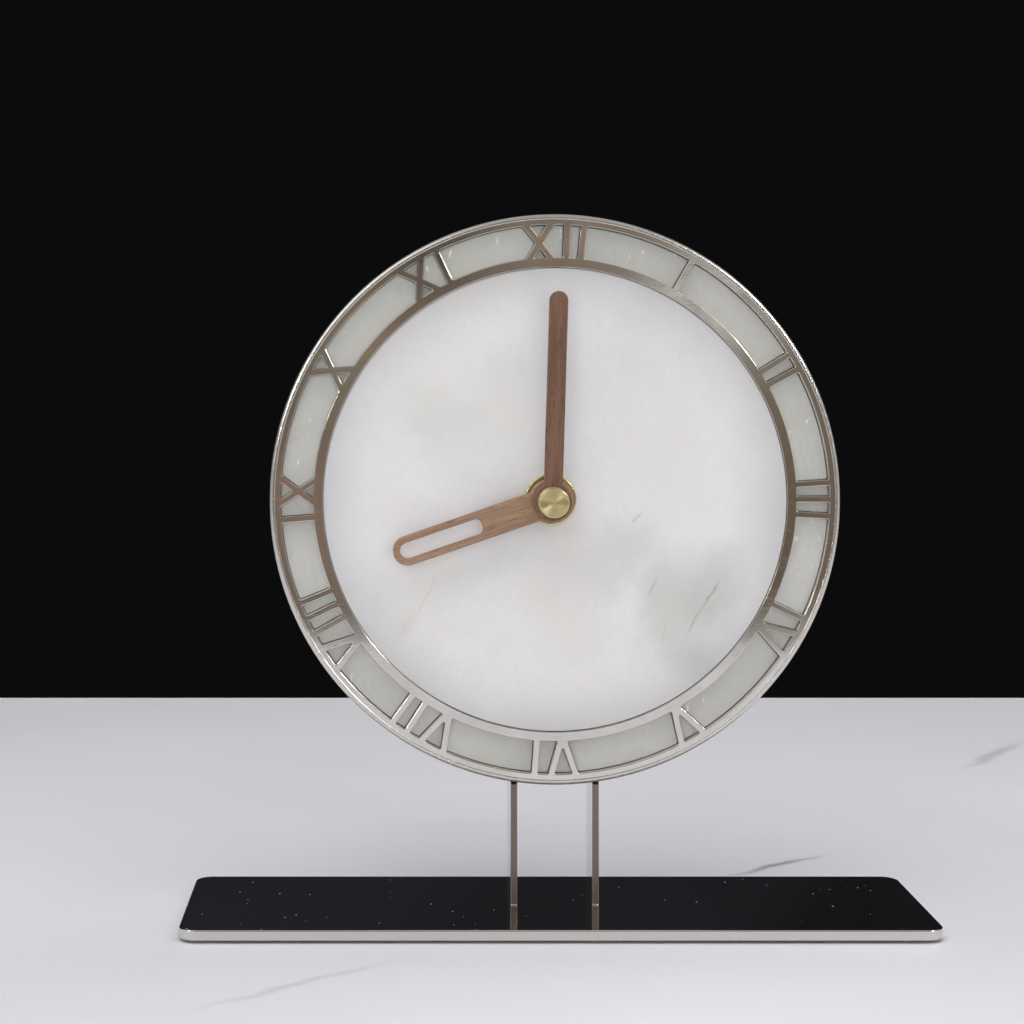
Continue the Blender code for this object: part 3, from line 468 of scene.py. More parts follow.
@dataclass(frozen=True)
class Finish:
    """What every finish shares: a name, and a surface that dress() turns into nodes."""

    name: str

    def dress(self, tree: bpy.types.NodeTree, shader: bpy.types.Node, place: bpy.types.NodeSocket) -> None:
        """Wire the surface into the shader.

        Args:
            tree: the material's node tree.
            shader: its Principled BSDF.
            place: object coordinates, in metres.
        """
        raise NotImplementedError

    def material(self) -> bpy.types.Material:
        """Make the material, or hand back the one already made under this name.

        Returns:
            The Blender material.
        """
        found = bpy.data.materials.get(self.name)
        if found:
            return found
        made = bpy.data.materials.new(self.name)
        made.use_nodes = True
        tree = made.node_tree
        tree.nodes.clear()
        shader = add(tree, "ShaderNodeBsdfPrincipled")
        add(tree, "ShaderNodeOutputMaterial", {"Surface": shader.outputs[0]})
        place = add(tree, "ShaderNodeTexCoord").outputs["Object"]
        self.dress(tree, shader, place)
        return made


def ramp(tree: bpy.types.NodeTree, source: bpy.types.NodeSocket, low: float, high: float,
         first: Any, last: Any) -> bpy.types.NodeSocket:
    """Blend between two values or colours as a source goes from low to high.

    Args:
        tree: the material's node tree.
        source: the driving value.
        low: source value that gives the first.
        high: source value that gives the last.
        first: number or RGBA at low.
        last: number or RGBA at high.

    Returns:
        The blended output.
    """
    coloured = isinstance(first, (tuple, bpy.types.NodeSocket)) and not isinstance(first, float)
    share = add(tree, "ShaderNodeMapRange", {"Value": source, "From Min": low, "From Max": high,
                                             "To Min": 0.0 if coloured else first,
                                             "To Max": 1.0 if coloured else last})
    if not coloured:
        return share.outputs["Result"]
    mix = add(tree, "ShaderNodeMix", {0: share.outputs["Result"], 6: first, 7: last}, data_type="RGBA")
    return mix.outputs[2]


def noise(tree: bpy.types.NodeTree, place: bpy.types.NodeSocket, size: float, detail: float = 3.0,
          distortion: float = 0.0, roughness: float = 0.5) -> bpy.types.NodeSocket:
    """Noise whose features have a real size.

    Args:
        tree: the material's node tree.
        place: coordinates in metres.
        size: length of a feature.
        detail: octaves.
        distortion: amount of swirl.
        roughness: weight of the finer octaves.

    Returns:
        The noise value, about 0.3 to 0.7.
    """
    values = {"Vector": place, "Scale": per(size), "Detail": detail, "Roughness": roughness,
              "Distortion": distortion}
    return add(tree, "ShaderNodeTexNoise", values).outputs[0]


@dataclass(frozen=True)
class Spot:
    """A soft elliptical patch of another colour inside a material, such as a cloud or a vein."""

    centre: tuple[float, float, float]
    size: tuple[float, float, float]
    turn: tuple[float, float, float] = (0, 0, 0)
    strength: float = 0.5
    colour: str = "9a9d90"

    @classmethod
    def upright(cls, centre: tuple[float, float, float],
                row: tuple[float, float, float, float, float, float, str]) -> "Spot":
        """A patch on an upright face.

        Args:
            centre: the point that the row is measured from.
            row: place along x and z and half sizes across and along, in mm; clockwise lean in
                degrees; strength; sRGB hex colour.

        Returns:
            The patch.
        """
        x, z, width, length, lean, strength, colour = row
        return cls((centre[0] + x * MM, centre[1], centre[2] + z * MM), (width * MM, 1.0, length * MM),
                   (0, math.radians(lean), 0), strength, colour)

    def share(self, tree: bpy.types.NodeTree, place: bpy.types.NodeSocket) -> bpy.types.NodeSocket:
        """Strength at the centre, falling smoothly to 0 on the ellipse.

        Args:
            tree: the material's node tree.
            place: coordinates in metres.

        Returns:
            The share of the patch's colour.
        """
        values = {"Vector": place, "Location": self.centre, "Rotation": self.turn, "Scale": self.size}
        local = add(tree, "ShaderNodeMapping", values, vector_type="TEXTURE")
        reach = add(tree, "ShaderNodeVectorMath", {0: local.outputs[0]}, operation="LENGTH").outputs["Value"]
        return add(tree, "ShaderNodeMapRange", {"Value": reach, "From Min": 0.1, "From Max": 1.0,
                                                "To Min": self.strength, "To Max": 0.0},
                   interpolation_type="SMOOTHSTEP").outputs["Result"]


def wavy(tree: bpy.types.NodeTree, place: bpy.types.NodeSocket, size: float,
         reach: float) -> bpy.types.NodeSocket:
    """Coordinates pushed about by noise, for wandering edges.

    Args:
        tree: the material's node tree.
        place: coordinates in metres.
        size: length of a wave.
        reach: how far a point is pushed.

    Returns:
        The new coordinates.
    """
    push = add(tree, "ShaderNodeTexNoise", {"Vector": place, "Scale": per(size), "Detail": 4.0}).outputs[1]
    push = add(tree, "ShaderNodeVectorMath", {0: push, 1: (0.5, 0.5, 0.5)}, operation="SUBTRACT").outputs[0]
    span = 4 * reach
    return add(tree, "ShaderNodeVectorMath", {0: push, 1: (span, span, span), 2: place},
               operation="MULTIPLY_ADD").outputs[0]


def spotted(tree: bpy.types.NodeTree, place: bpy.types.NodeSocket, base: bpy.types.NodeSocket,
            spots: Sequence[Spot]) -> bpy.types.NodeSocket:
    """Lay patches over a colour, one after another.

    Args:
        tree: the material's node tree.
        place: coordinates in metres.
        base: the colour under them.
        spots: the patches.

    Returns:
        The colour with its patches.
    """
    for spot in spots:
        base = add(tree, "ShaderNodeMix", {0: spot.share(tree, place), 6: base, 7: linear(spot.colour)},
                   data_type="RGBA").outputs[2]
    return base


@dataclass(frozen=True)
class PolishedSteel(Finish):
    """Stainless sheet polished to a mirror: it shows the room, broken by faint polishing hairlines."""

    colour: str = "d6d3ce"
    roughness: float = 0.05
    haze: float = 0.05
    hairline: float = 0.35 * MM
    hairline_length: float = 14 * MM
    direction: tuple[float, float, float] = (0, 0, 0)
    relief: float = 0.04
    dust: bool = False

    def dress(self, tree: bpy.types.NodeTree, shader: bpy.types.Node, place: bpy.types.NodeSocket) -> None:
        """Hairlines lift the roughness and tilt the surface a little; dust lies on it as pale specks.

        Args:
            tree: the material's node tree.
            shader: its Principled BSDF.
            place: object coordinates, in metres.
        """
        stretch = self.hairline / self.hairline_length
        lines = add(tree, "ShaderNodeMapping", {"Vector": place, "Rotation": self.direction,
                                                "Scale": (stretch, 1, 1)})
        hair = noise(tree, lines.outputs[0], self.hairline, 2.0)
        smear = noise(tree, place, 22 * MM, 3.0, 0.6)
        rough = ramp(tree, hair, 0.45, 0.75, self.roughness, self.roughness + self.haze)
        haze = ramp(tree, smear, 0.45, 0.7, 0.0, self.haze * 0.6)
        total = add(tree, "ShaderNodeMath", {0: rough, 1: haze}, operation="ADD").outputs[0]
        colour = linear(self.colour)
        shader.inputs["Metallic"].default_value = 1.0
        shader.inputs["Base Color"].default_value = colour
        if self.dust:
            cells = add(tree, "ShaderNodeTexVoronoi", {"Vector": place, "Scale": per(3.6 * MM)},
                        voronoi_dimensions="2D")
            chance = add(tree, "ShaderNodeSeparateColor", {0: cells.outputs["Color"]})
            size = ramp(tree, chance.outputs[0], 0.945, 1.0, 0.0, 0.085)
            near = add(tree, "ShaderNodeMath", {0: cells.outputs["Distance"], 1: size},
                       operation="LESS_THAN").outputs[0]
            speck = ramp(tree, near, 0.0, 1.0, colour, linear("dcdad6"))
            tree.links.new(speck, shader.inputs["Base Color"])
            tree.links.new(ramp(tree, near, 0.0, 1.0, 1.0, 0.0), shader.inputs["Metallic"])
        tree.links.new(total, shader.inputs["Roughness"])
        bump = add(tree, "ShaderNodeBump", {"Height": hair, "Strength": self.relief, "Distance": 0.01 * MM})
        tree.links.new(bump.outputs[0], shader.inputs["Normal"])


@dataclass(frozen=True)
class HandPolishedSteel(Finish):
    """Laser-cut stainless rubbed by hand: a soft mirror crossed by fine hairlines in two directions."""

    colour: str = "e2e0db"
    worn: str = "d6d3cd"
    roughness: float = 0.07
    scratch: float = 0.14
    lines: tuple[tuple[float, float, float], ...] = ((0.5, 0.30 * MM, 9 * MM), (-0.9, 0.22 * MM, 7 * MM))

    def dress(self, tree: bpy.types.NodeTree, shader: bpy.types.Node, place: bpy.types.NodeSocket) -> None:
        """Two sets of crossed hairlines and a slow mottling of the roughness.

        Args:
            tree: the material's node tree.
            shader: its Principled BSDF.
            place: object coordinates, in metres.
        """
        total = None
        for turn, width, length in self.lines:
            drawn = add(tree, "ShaderNodeMapping", {"Vector": place, "Rotation": (0, turn, 0),
                                                    "Scale": (width / length, 1, 1)})
            hair = ramp(tree, noise(tree, drawn.outputs[0], width, 2.0), 0.60, 0.76, 0.0, 1.0)
            total = hair if total is None else add(tree, "ShaderNodeMath", {0: total, 1: hair},
                                                   operation="MAXIMUM").outputs[0]
        patch = noise(tree, place, 18 * MM, 3.0, 0.4)
        rough = ramp(tree, patch, 0.35, 0.7, self.roughness, self.roughness + 0.07)
        rough = add(tree, "ShaderNodeMath", {0: total, 1: self.scratch, 2: rough},
                    operation="MULTIPLY_ADD").outputs[0]
        tree.links.new(rough, shader.inputs["Roughness"])
        shade = ramp(tree, patch, 0.3, 0.7, linear(self.colour), linear(self.worn))
        tree.links.new(shade, shader.inputs["Base Color"])
        shader.inputs["Metallic"].default_value = 1.0
        bump = add(tree, "ShaderNodeBump", {"Height": total, "Strength": 0.08, "Distance": 0.01 * MM})
        tree.links.new(bump.outputs[0], shader.inputs["Normal"])


@dataclass(frozen=True)
class HonedMarble(Finish):
    """Pale marble ground smooth but not glossy: milky clouds, crystals that mottle it, veins, flecks."""

    light: str = "ebeaec"
    dark: str = "dfdedf"
    warm: str = "e6e3dd"
    spots: tuple[Spot, ...] = ()
    cracks: tuple[Spot, ...] = ()
    fleck: float = 0.0
    roughness: float = 0.34
    centre: tuple[float, float, float] | None = None
    # start and end radius and least factor of the painted shade towards the rim
    edge: tuple[float, float, float] = (60.0 * MM, 81.1 * MM, 0.74)

    def dress(self, tree: bpy.types.NodeTree, shader: bpy.types.Node, place: bpy.types.NodeSocket) -> None:
        """Clouds 45 mm wide, crystals 2 mm wide drawn out along the bed, then the given patches, and painted
        shade towards the rim when a centre is given.

        Args:
            tree: the material's node tree.
            shader: its Principled BSDF.
            place: object coordinates, in metres.
        """
        cloud = noise(tree, place, 45 * MM, 4.0, 0.3, 0.5)
        bed = add(tree, "ShaderNodeMapping", {"Vector": place, "Rotation": (0, math.radians(35), 0),
                                              "Scale": (1, 1, 0.5)}).outputs[0]
        crystal = noise(tree, bed, 1.8 * MM, 4.0, 0.5, 0.65)
        tone = add(tree, "ShaderNodeMath", {0: crystal, 1: 0.40, 2: cloud},
                   operation="MULTIPLY_ADD").outputs[0]
        base = ramp(tree, tone, 0.52, 0.92, linear(self.dark), linear(self.light))
        tint = ramp(tree, noise(tree, place, 30 * MM, 3.0), 0.48, 0.68, 0.0, 0.7)
        base = ramp(tree, tint, 0.0, 1.0, base, linear(self.warm))
        base = spotted(tree, wavy(tree, place, 14 * MM, 3.5 * MM), base, self.spots)
        base = spotted(tree, wavy(tree, place, 3 * MM, 0.5 * MM), base, self.cracks)
        # painted shade: the stone is drawn darker towards the rim of the disc
        if self.centre:
            base = self.painted_rim_shade(tree, place, base)
        if self.fleck:
            flecks = noise(tree, wavy(tree, bed, 2 * MM, 0.3 * MM), 2.4 * MM, 2.0)
            share = ramp(tree, flecks, 0.70, 0.76, 0.0, self.fleck)
            base = ramp(tree, share, 0.0, 1.0, base, linear("eeede9"))
        tree.links.new(base, shader.inputs["Base Color"])
        tree.links.new(ramp(tree, crystal, 0.3, 0.7, self.roughness, self.roughness + 0.12),
                       shader.inputs["Roughness"])
        bump = add(tree, "ShaderNodeBump", {"Height": crystal, "Strength": 0.06, "Distance": 0.05 * MM})
        tree.links.new(bump.outputs[0], shader.inputs["Normal"])

    def painted_rim_shade(self, tree: bpy.types.NodeTree, place: bpy.types.NodeSocket,
                   base: bpy.types.NodeSocket) -> bpy.types.NodeSocket:
        """Painted shade: darken the stone smoothly towards its rim.

        Args:
            tree: the material's node tree.
            place: coordinates in metres.
            base: the colour of the stone.

        Returns:
            The darkened colour.
        """
        flat = add(tree, "ShaderNodeVectorMath", {0: place, 1: self.centre}, operation="SUBTRACT").outputs[0]
        flat = add(tree, "ShaderNodeVectorMath", {0: flat, 1: (1, 0, 1)}, operation="MULTIPLY").outputs[0]
        reach = add(tree, "ShaderNodeVectorMath", {0: flat}, operation="LENGTH").outputs["Value"]
        start, end, least = self.edge
        share = ramp(tree, reach, start, end, 0.0, 1.0)
        share = add(tree, "ShaderNodeMath", {0: share, 1: 1.6}, operation="POWER").outputs[0]
        factor = ramp(tree, share, 0.0, 1.0, 1.0, least)
        grey = add(tree, "ShaderNodeCombineColor", {0: factor, 1: factor, 2: factor}).outputs[0]
        return add(tree, "ShaderNodeMix", {0: 1.0, 6: base, 7: grey}, data_type="RGBA",
                   blend_type="MULTIPLY").outputs[2]


@dataclass(frozen=True)
class OiledWalnut(Finish):
    """Walnut sawn along the grain and oiled: brown streaks, short dark pores, a dull sheen."""

    centre: tuple[float, float, float] = (0, 0, 0)
    angle: float = 0.0
    light: str = "9c7c62"
    middle: str = "7d604b"
    dark: str = "3c2a21"

    def dress(self, tree: bpy.types.NodeTree, shader: bpy.types.Node, place: bpy.types.NodeSocket) -> None:
        """Streaks 1.6 mm wide, fibres 0.3 mm wide and pores 0.25 by 5 mm, all along the hand.

        Args:
            tree: the material's node tree.
            shader: its Principled BSDF.
            place: object coordinates, in metres.
        """
        along = add(tree, "ShaderNodeMapping", {"Vector": place, "Location": self.centre,
                                                "Rotation": (0, self.angle, 0)}, vector_type="TEXTURE")
        grain = along.outputs[0]
        streak = self.stretched(tree, grain, 1.6 * MM, 45 * MM, 3.0)
        fibre = self.stretched(tree, grain, 0.32 * MM, 9 * MM, 2.0)
        pores = self.stretched(tree, grain, 0.26 * MM, 4.2 * MM, 1.0)
        base = ramp(tree, streak, 0.36, 0.62, linear(self.middle), linear(self.light))
        thread = ramp(tree, fibre, 0.3, 0.7, 0.0, 0.5)
        base = ramp(tree, thread, 0.0, 1.0, base, linear(self.middle))
        hole = ramp(tree, pores, 0.62, 0.72, 0.0, 1.0)
        colour = ramp(tree, hole, 0.0, 1.3, base, linear(self.dark))
        tree.links.new(colour, shader.inputs["Base Color"])
        tree.links.new(ramp(tree, hole, 0.0, 1.0, 0.42, 0.75), shader.inputs["Roughness"])
        depth = add(tree, "ShaderNodeMath", {0: hole, 1: -1.0, 2: thread},
                    operation="MULTIPLY_ADD").outputs[0]
        bump = add(tree, "ShaderNodeBump", {"Height": depth, "Strength": 0.35, "Distance": 0.06 * MM})
        tree.links.new(bump.outputs[0], shader.inputs["Normal"])

    @staticmethod
    def stretched(tree: bpy.types.NodeTree, grain: bpy.types.NodeSocket, width: float, length: float,
                  detail: float) -> bpy.types.NodeSocket:
        """Noise drawn out along the grain.

        Args:
            tree: the material's node tree.
            grain: coordinates with z along the grain.
            width: width of a feature.
            length: length of a feature.
            detail: octaves.

        Returns:
            The noise value.
        """
        squeezed = add(tree, "ShaderNodeMapping", {"Vector": grain, "Scale": (1, 1, width / length)})
        return noise(tree, squeezed.outputs[0], width, detail, 0.15)


@dataclass(frozen=True)
class TurnedBrass(Finish):
    """Brass faced on a lathe: rings too fine to see stretch each highlight into a bow across the face."""

    colour: str = "e9dba6"
    tarnish: str = "dfd39f"
    roughness: float = 0.38
    anisotropy: float = 0.92

    def dress(self, tree: bpy.types.NodeTree, shader: bpy.types.Node, place: bpy.types.NodeSocket) -> None:
        """Anisotropy along the turn, and rings drawn 0.3 mm apart, coarser than real tool marks.

        Args:
            tree: the material's node tree.
            shader: its Principled BSDF.
            place: object coordinates, in metres.
        """
        tangent = add(tree, "ShaderNodeTangent", direction_type="UV_MAP", uv_map="turn")
        tree.links.new(tangent.outputs[0], shader.inputs["Tangent"])
        shader.inputs["Anisotropic"].default_value = self.anisotropy
        shader.inputs["Anisotropic Rotation"].default_value = QUARTER_TURN
        shader.inputs["Metallic"].default_value = 1.0
        chart = add(tree, "ShaderNodeUVMap", uv_map="turn")
        flat = add(tree, "ShaderNodeMapping", {"Vector": chart.outputs[0], "Scale": (0, 1, 0)})
        rings = noise(tree, flat.outputs[0], 0.016, 2.0)
        patches = noise(tree, place, 3 * MM, 3.0)
        tree.links.new(ramp(tree, patches, 0.35, 0.7, linear(self.colour), linear(self.tarnish)),
                       shader.inputs["Base Color"])
        tree.links.new(ramp(tree, rings, 0.3, 0.7, self.roughness - 0.04, self.roughness + 0.08),
                       shader.inputs["Roughness"])
        bump = add(tree, "ShaderNodeBump", {"Height": rings, "Strength": 0.03, "Distance": 0.01 * MM})
        tree.links.new(bump.outputs[0], shader.inputs["Normal"])


@dataclass(frozen=True)
class PlainMetal(Finish):
    """Small metal parts as stamped, drawn or plated: a grey sheen with a fine mottle."""

    colour: str = "a5a5a2"
    roughness: float = 0.3
    grain: float = 0.6 * MM

    def dress(self, tree: bpy.types.NodeTree, shader: bpy.types.Node, place: bpy.types.NodeSocket) -> None:
        """A mottle of roughness and a very shallow bump.

        Args:
            tree: the material's node tree.
            shader: its Principled BSDF.
            place: object coordinates, in metres.
        """
        spots = noise(tree, place, self.grain, 3.0)
        shader.inputs["Metallic"].default_value = 1.0
        shader.inputs["Base Color"].default_value = linear(self.colour)
        tree.links.new(ramp(tree, spots, 0.3, 0.7, self.roughness - 0.05, self.roughness + 0.1),
                       shader.inputs["Roughness"])
        bump = add(tree, "ShaderNodeBump", {"Height": spots, "Strength": 0.08, "Distance": 0.02 * MM})
        tree.links.new(bump.outputs[0], shader.inputs["Normal"])


@dataclass(frozen=True)
class Grained(Finish):
    """Moulded plastic, rubber, powder coat, resin or enamel: one colour with a fine surface grain."""

    colour: str = "202124"
    roughness: float = 0.45
    grain: float = 0.25 * MM
    relief: float = 0.15
    tint: float = 0.12

    def dress(self, tree: bpy.types.NodeTree, shader: bpy.types.Node, place: bpy.types.NodeSocket) -> None:
        """Grain in the bump, and a slow drift of colour and roughness over the piece.

        Args:
            tree: the material's node tree.
            shader: its Principled BSDF.
            place: object coordinates, in metres.
        """
        base = linear(self.colour)
        darker = tuple(c * (1 - self.tint) for c in base[:3]) + (1.0,)
        drift = noise(tree, place, 14 * MM, 3.0)
        grain = noise(tree, place, self.grain, 2.0)
        tree.links.new(ramp(tree, drift, 0.35, 0.65, darker, base), shader.inputs["Base Color"])
        tree.links.new(ramp(tree, drift, 0.3, 0.7, self.roughness + 0.06, self.roughness - 0.04),
                       shader.inputs["Roughness"])
        bump = add(tree, "ShaderNodeBump", {"Height": grain, "Strength": self.relief, "Distance": 0.06 * MM})
        tree.links.new(bump.outputs[0], shader.inputs["Normal"])


@dataclass(frozen=True)
class WoundWire(Finish):
    """Enamelled copper wire wound in even turns: bright lines, drawn 0.35 mm apart, coarser than real."""

    colour: str = "b8693c"
    shade: str = "5a2c17"
    pitch: float = 0.35 * MM

    def dress(self, tree: bpy.types.NodeTree, shader: bpy.types.Node, place: bpy.types.NodeSocket) -> None:
        """Bands stacked along z, raised and darker between the turns.

        Args:
            tree: the material's node tree.
            shader: its Principled BSDF.
            place: object coordinates, in metres.
        """
        turns = add(tree, "ShaderNodeTexWave", {"Vector": place, "Scale": per(self.pitch) * math.pi / 10,
                                                "Distortion": 0.4}, bands_direction="Z").outputs["Fac"]
        shader.inputs["Metallic"].default_value = 0.85
        shader.inputs["Roughness"].default_value = 0.3
        tree.links.new(ramp(tree, turns, 0.0, 0.6, linear(self.shade), linear(self.colour)),
                       shader.inputs["Base Color"])
        bump = add(tree, "ShaderNodeBump", {"Height": turns, "Strength": 0.6, "Distance": 0.1 * MM})
        tree.links.new(bump.outputs[0], shader.inputs["Normal"])


@dataclass(frozen=True)
class CellSleeve(Finish):
    """Shrunk plastic sleeve of an AA cell: a satin film, one end band in a lighter colour."""

    body: str = "2c3a55"
    band: str = "b79a52"
    split: float = 0.012

    def dress(self, tree: bpy.types.NodeTree, shader: bpy.types.Node, place: bpy.types.NodeSocket) -> None:
        """The band starts at a place along x; the film has faint wrinkles.

        Args:
            tree: the material's node tree.
            shader: its Principled BSDF.
            place: object coordinates, in metres.
        """
        axis = add(tree, "ShaderNodeSeparateXYZ", {0: place}).outputs[0]
        past = add(tree, "ShaderNodeMath", {0: axis, 1: self.split}, operation="GREATER_THAN").outputs[0]
        tree.links.new(ramp(tree, past, 0.0, 1.0, linear(self.body), linear(self.band)),
                       shader.inputs["Base Color"])
        film = noise(tree, place, 5 * MM, 2.0)
        tree.links.new(ramp(tree, film, 0.3, 0.7, 0.24, 0.36), shader.inputs["Roughness"])
        bump = add(tree, "ShaderNodeBump", {"Height": film, "Strength": 0.06, "Distance": 0.1 * MM})
        tree.links.new(bump.outputs[0], shader.inputs["Normal"])


# ---- pieces --------------------------------------------------------------------------------

def show(name: str, mesh: bpy.types.Mesh, finish: Finish, body: Body,
         replaces: Sequence[str] = ()) -> bpy.types.Object:
    """Link a finished mesh, dress it and let it ride on its body.

    Args:
        name: name of the piece.
        mesh: its mesh, in place.
        finish: its material.
        body: the body it moves with.
        replaces: CAD nodes that it stands for.

    Returns:
        The new object.
    """
    piece = bpy.data.objects.new(name, mesh)
    bpy.context.scene.collection.objects.link(piece)
    mesh.materials.append(finish.material())
    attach(piece, body.value)
    if replaces:
        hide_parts(*replaces)
    LOG.info("%s: %d faces", name, len(mesh.polygons))
    return piece


class Style(Enum):
    """The finishes of the clock, each made once and shared by its pieces."""

    BASE = PolishedSteel("stainless_sheet_mirror_polished", dust=True)
    POST = PolishedSteel("stainless_bar_polished", roughness=0.10, haze=0.08, direction=(0, math.pi / 2, 0))
    CUT = PolishedSteel("stainless_bar_cut_edge", colour="857c72", roughness=0.36, haze=0.10,
                        direction=(0, math.pi / 2, 0))
    # painted shade: a near-black weld stands for the shadowed gap under the hoop's rounded edge at the top of
    # each post
    PAINTED_SHADE_WELD = PlainMetal("weld_dark_painted_shade", colour="2a2724", roughness=0.5)
    RIM = PolishedSteel("stainless_hoop_polished", roughness=0.24, haze=0.04, relief=0.004)
    RING = HandPolishedSteel("stainless_ring_hand_polished")
    # painted shade: the inlays are the disc's marble drawn darker and greyer, for the shade in the recess
    # behind the ring
    PANEL = HonedMarble("marble_honed_painted_recess_shade", light="cbcac5", dark="b8b7b1", warm="c2c1b9", fleck=0.8,
                        roughness=0.4)
    BRASS = TurnedBrass("brass_turned", colour="dccf9c", roughness=0.22, anisotropy=0.6)
    CAP = TurnedBrass("brass_spun")
    BLACK_SHEET = Grained("steel_sheet_powder_coated", colour="1c1c1d", roughness=0.6, grain=0.5 * MM,
                          relief=0.3)
    RUBBER = Grained("rubber_moulded", colour="232323", roughness=0.8, grain=0.2 * MM, relief=0.3)
    BLACK_PLASTIC = Grained("abs_moulded_black", colour="222326", roughness=0.42)
    WHITE_PLASTIC = Grained("acetal_moulded_white", colour="dcdad2", roughness=0.36, relief=0.08)
    SHEET_BRASS = PlainMetal("brass_sheet_stamped", colour="c9b36b", roughness=0.32)
    SCREW = PlainMetal("steel_zinc_plated", colour="b4b5b4", roughness=0.28)
    IRON = PlainMetal("soft_iron_stamped", colour="8c8c8a", roughness=0.38)
    MAGNET = PlainMetal("magnet_sintered", colour="6b6c70", roughness=0.5)
    SPRING = PlainMetal("spring_steel_nickel_plated", colour="bdbcb6", roughness=0.2)
    CAN = PlainMetal("metal_can_drawn", colour="c4c6c8", roughness=0.18)
    COPPER = WoundWire("copper_wire_enamelled_wound")
    BOARD = Grained("circuit_board_solder_mask", colour="2d5a3a", roughness=0.35, grain=0.8 * MM, relief=0.1)
    RESIN = Grained("epoxy_resin_poured", colour="101113", roughness=0.22, grain=1.5 * MM, relief=0.1)


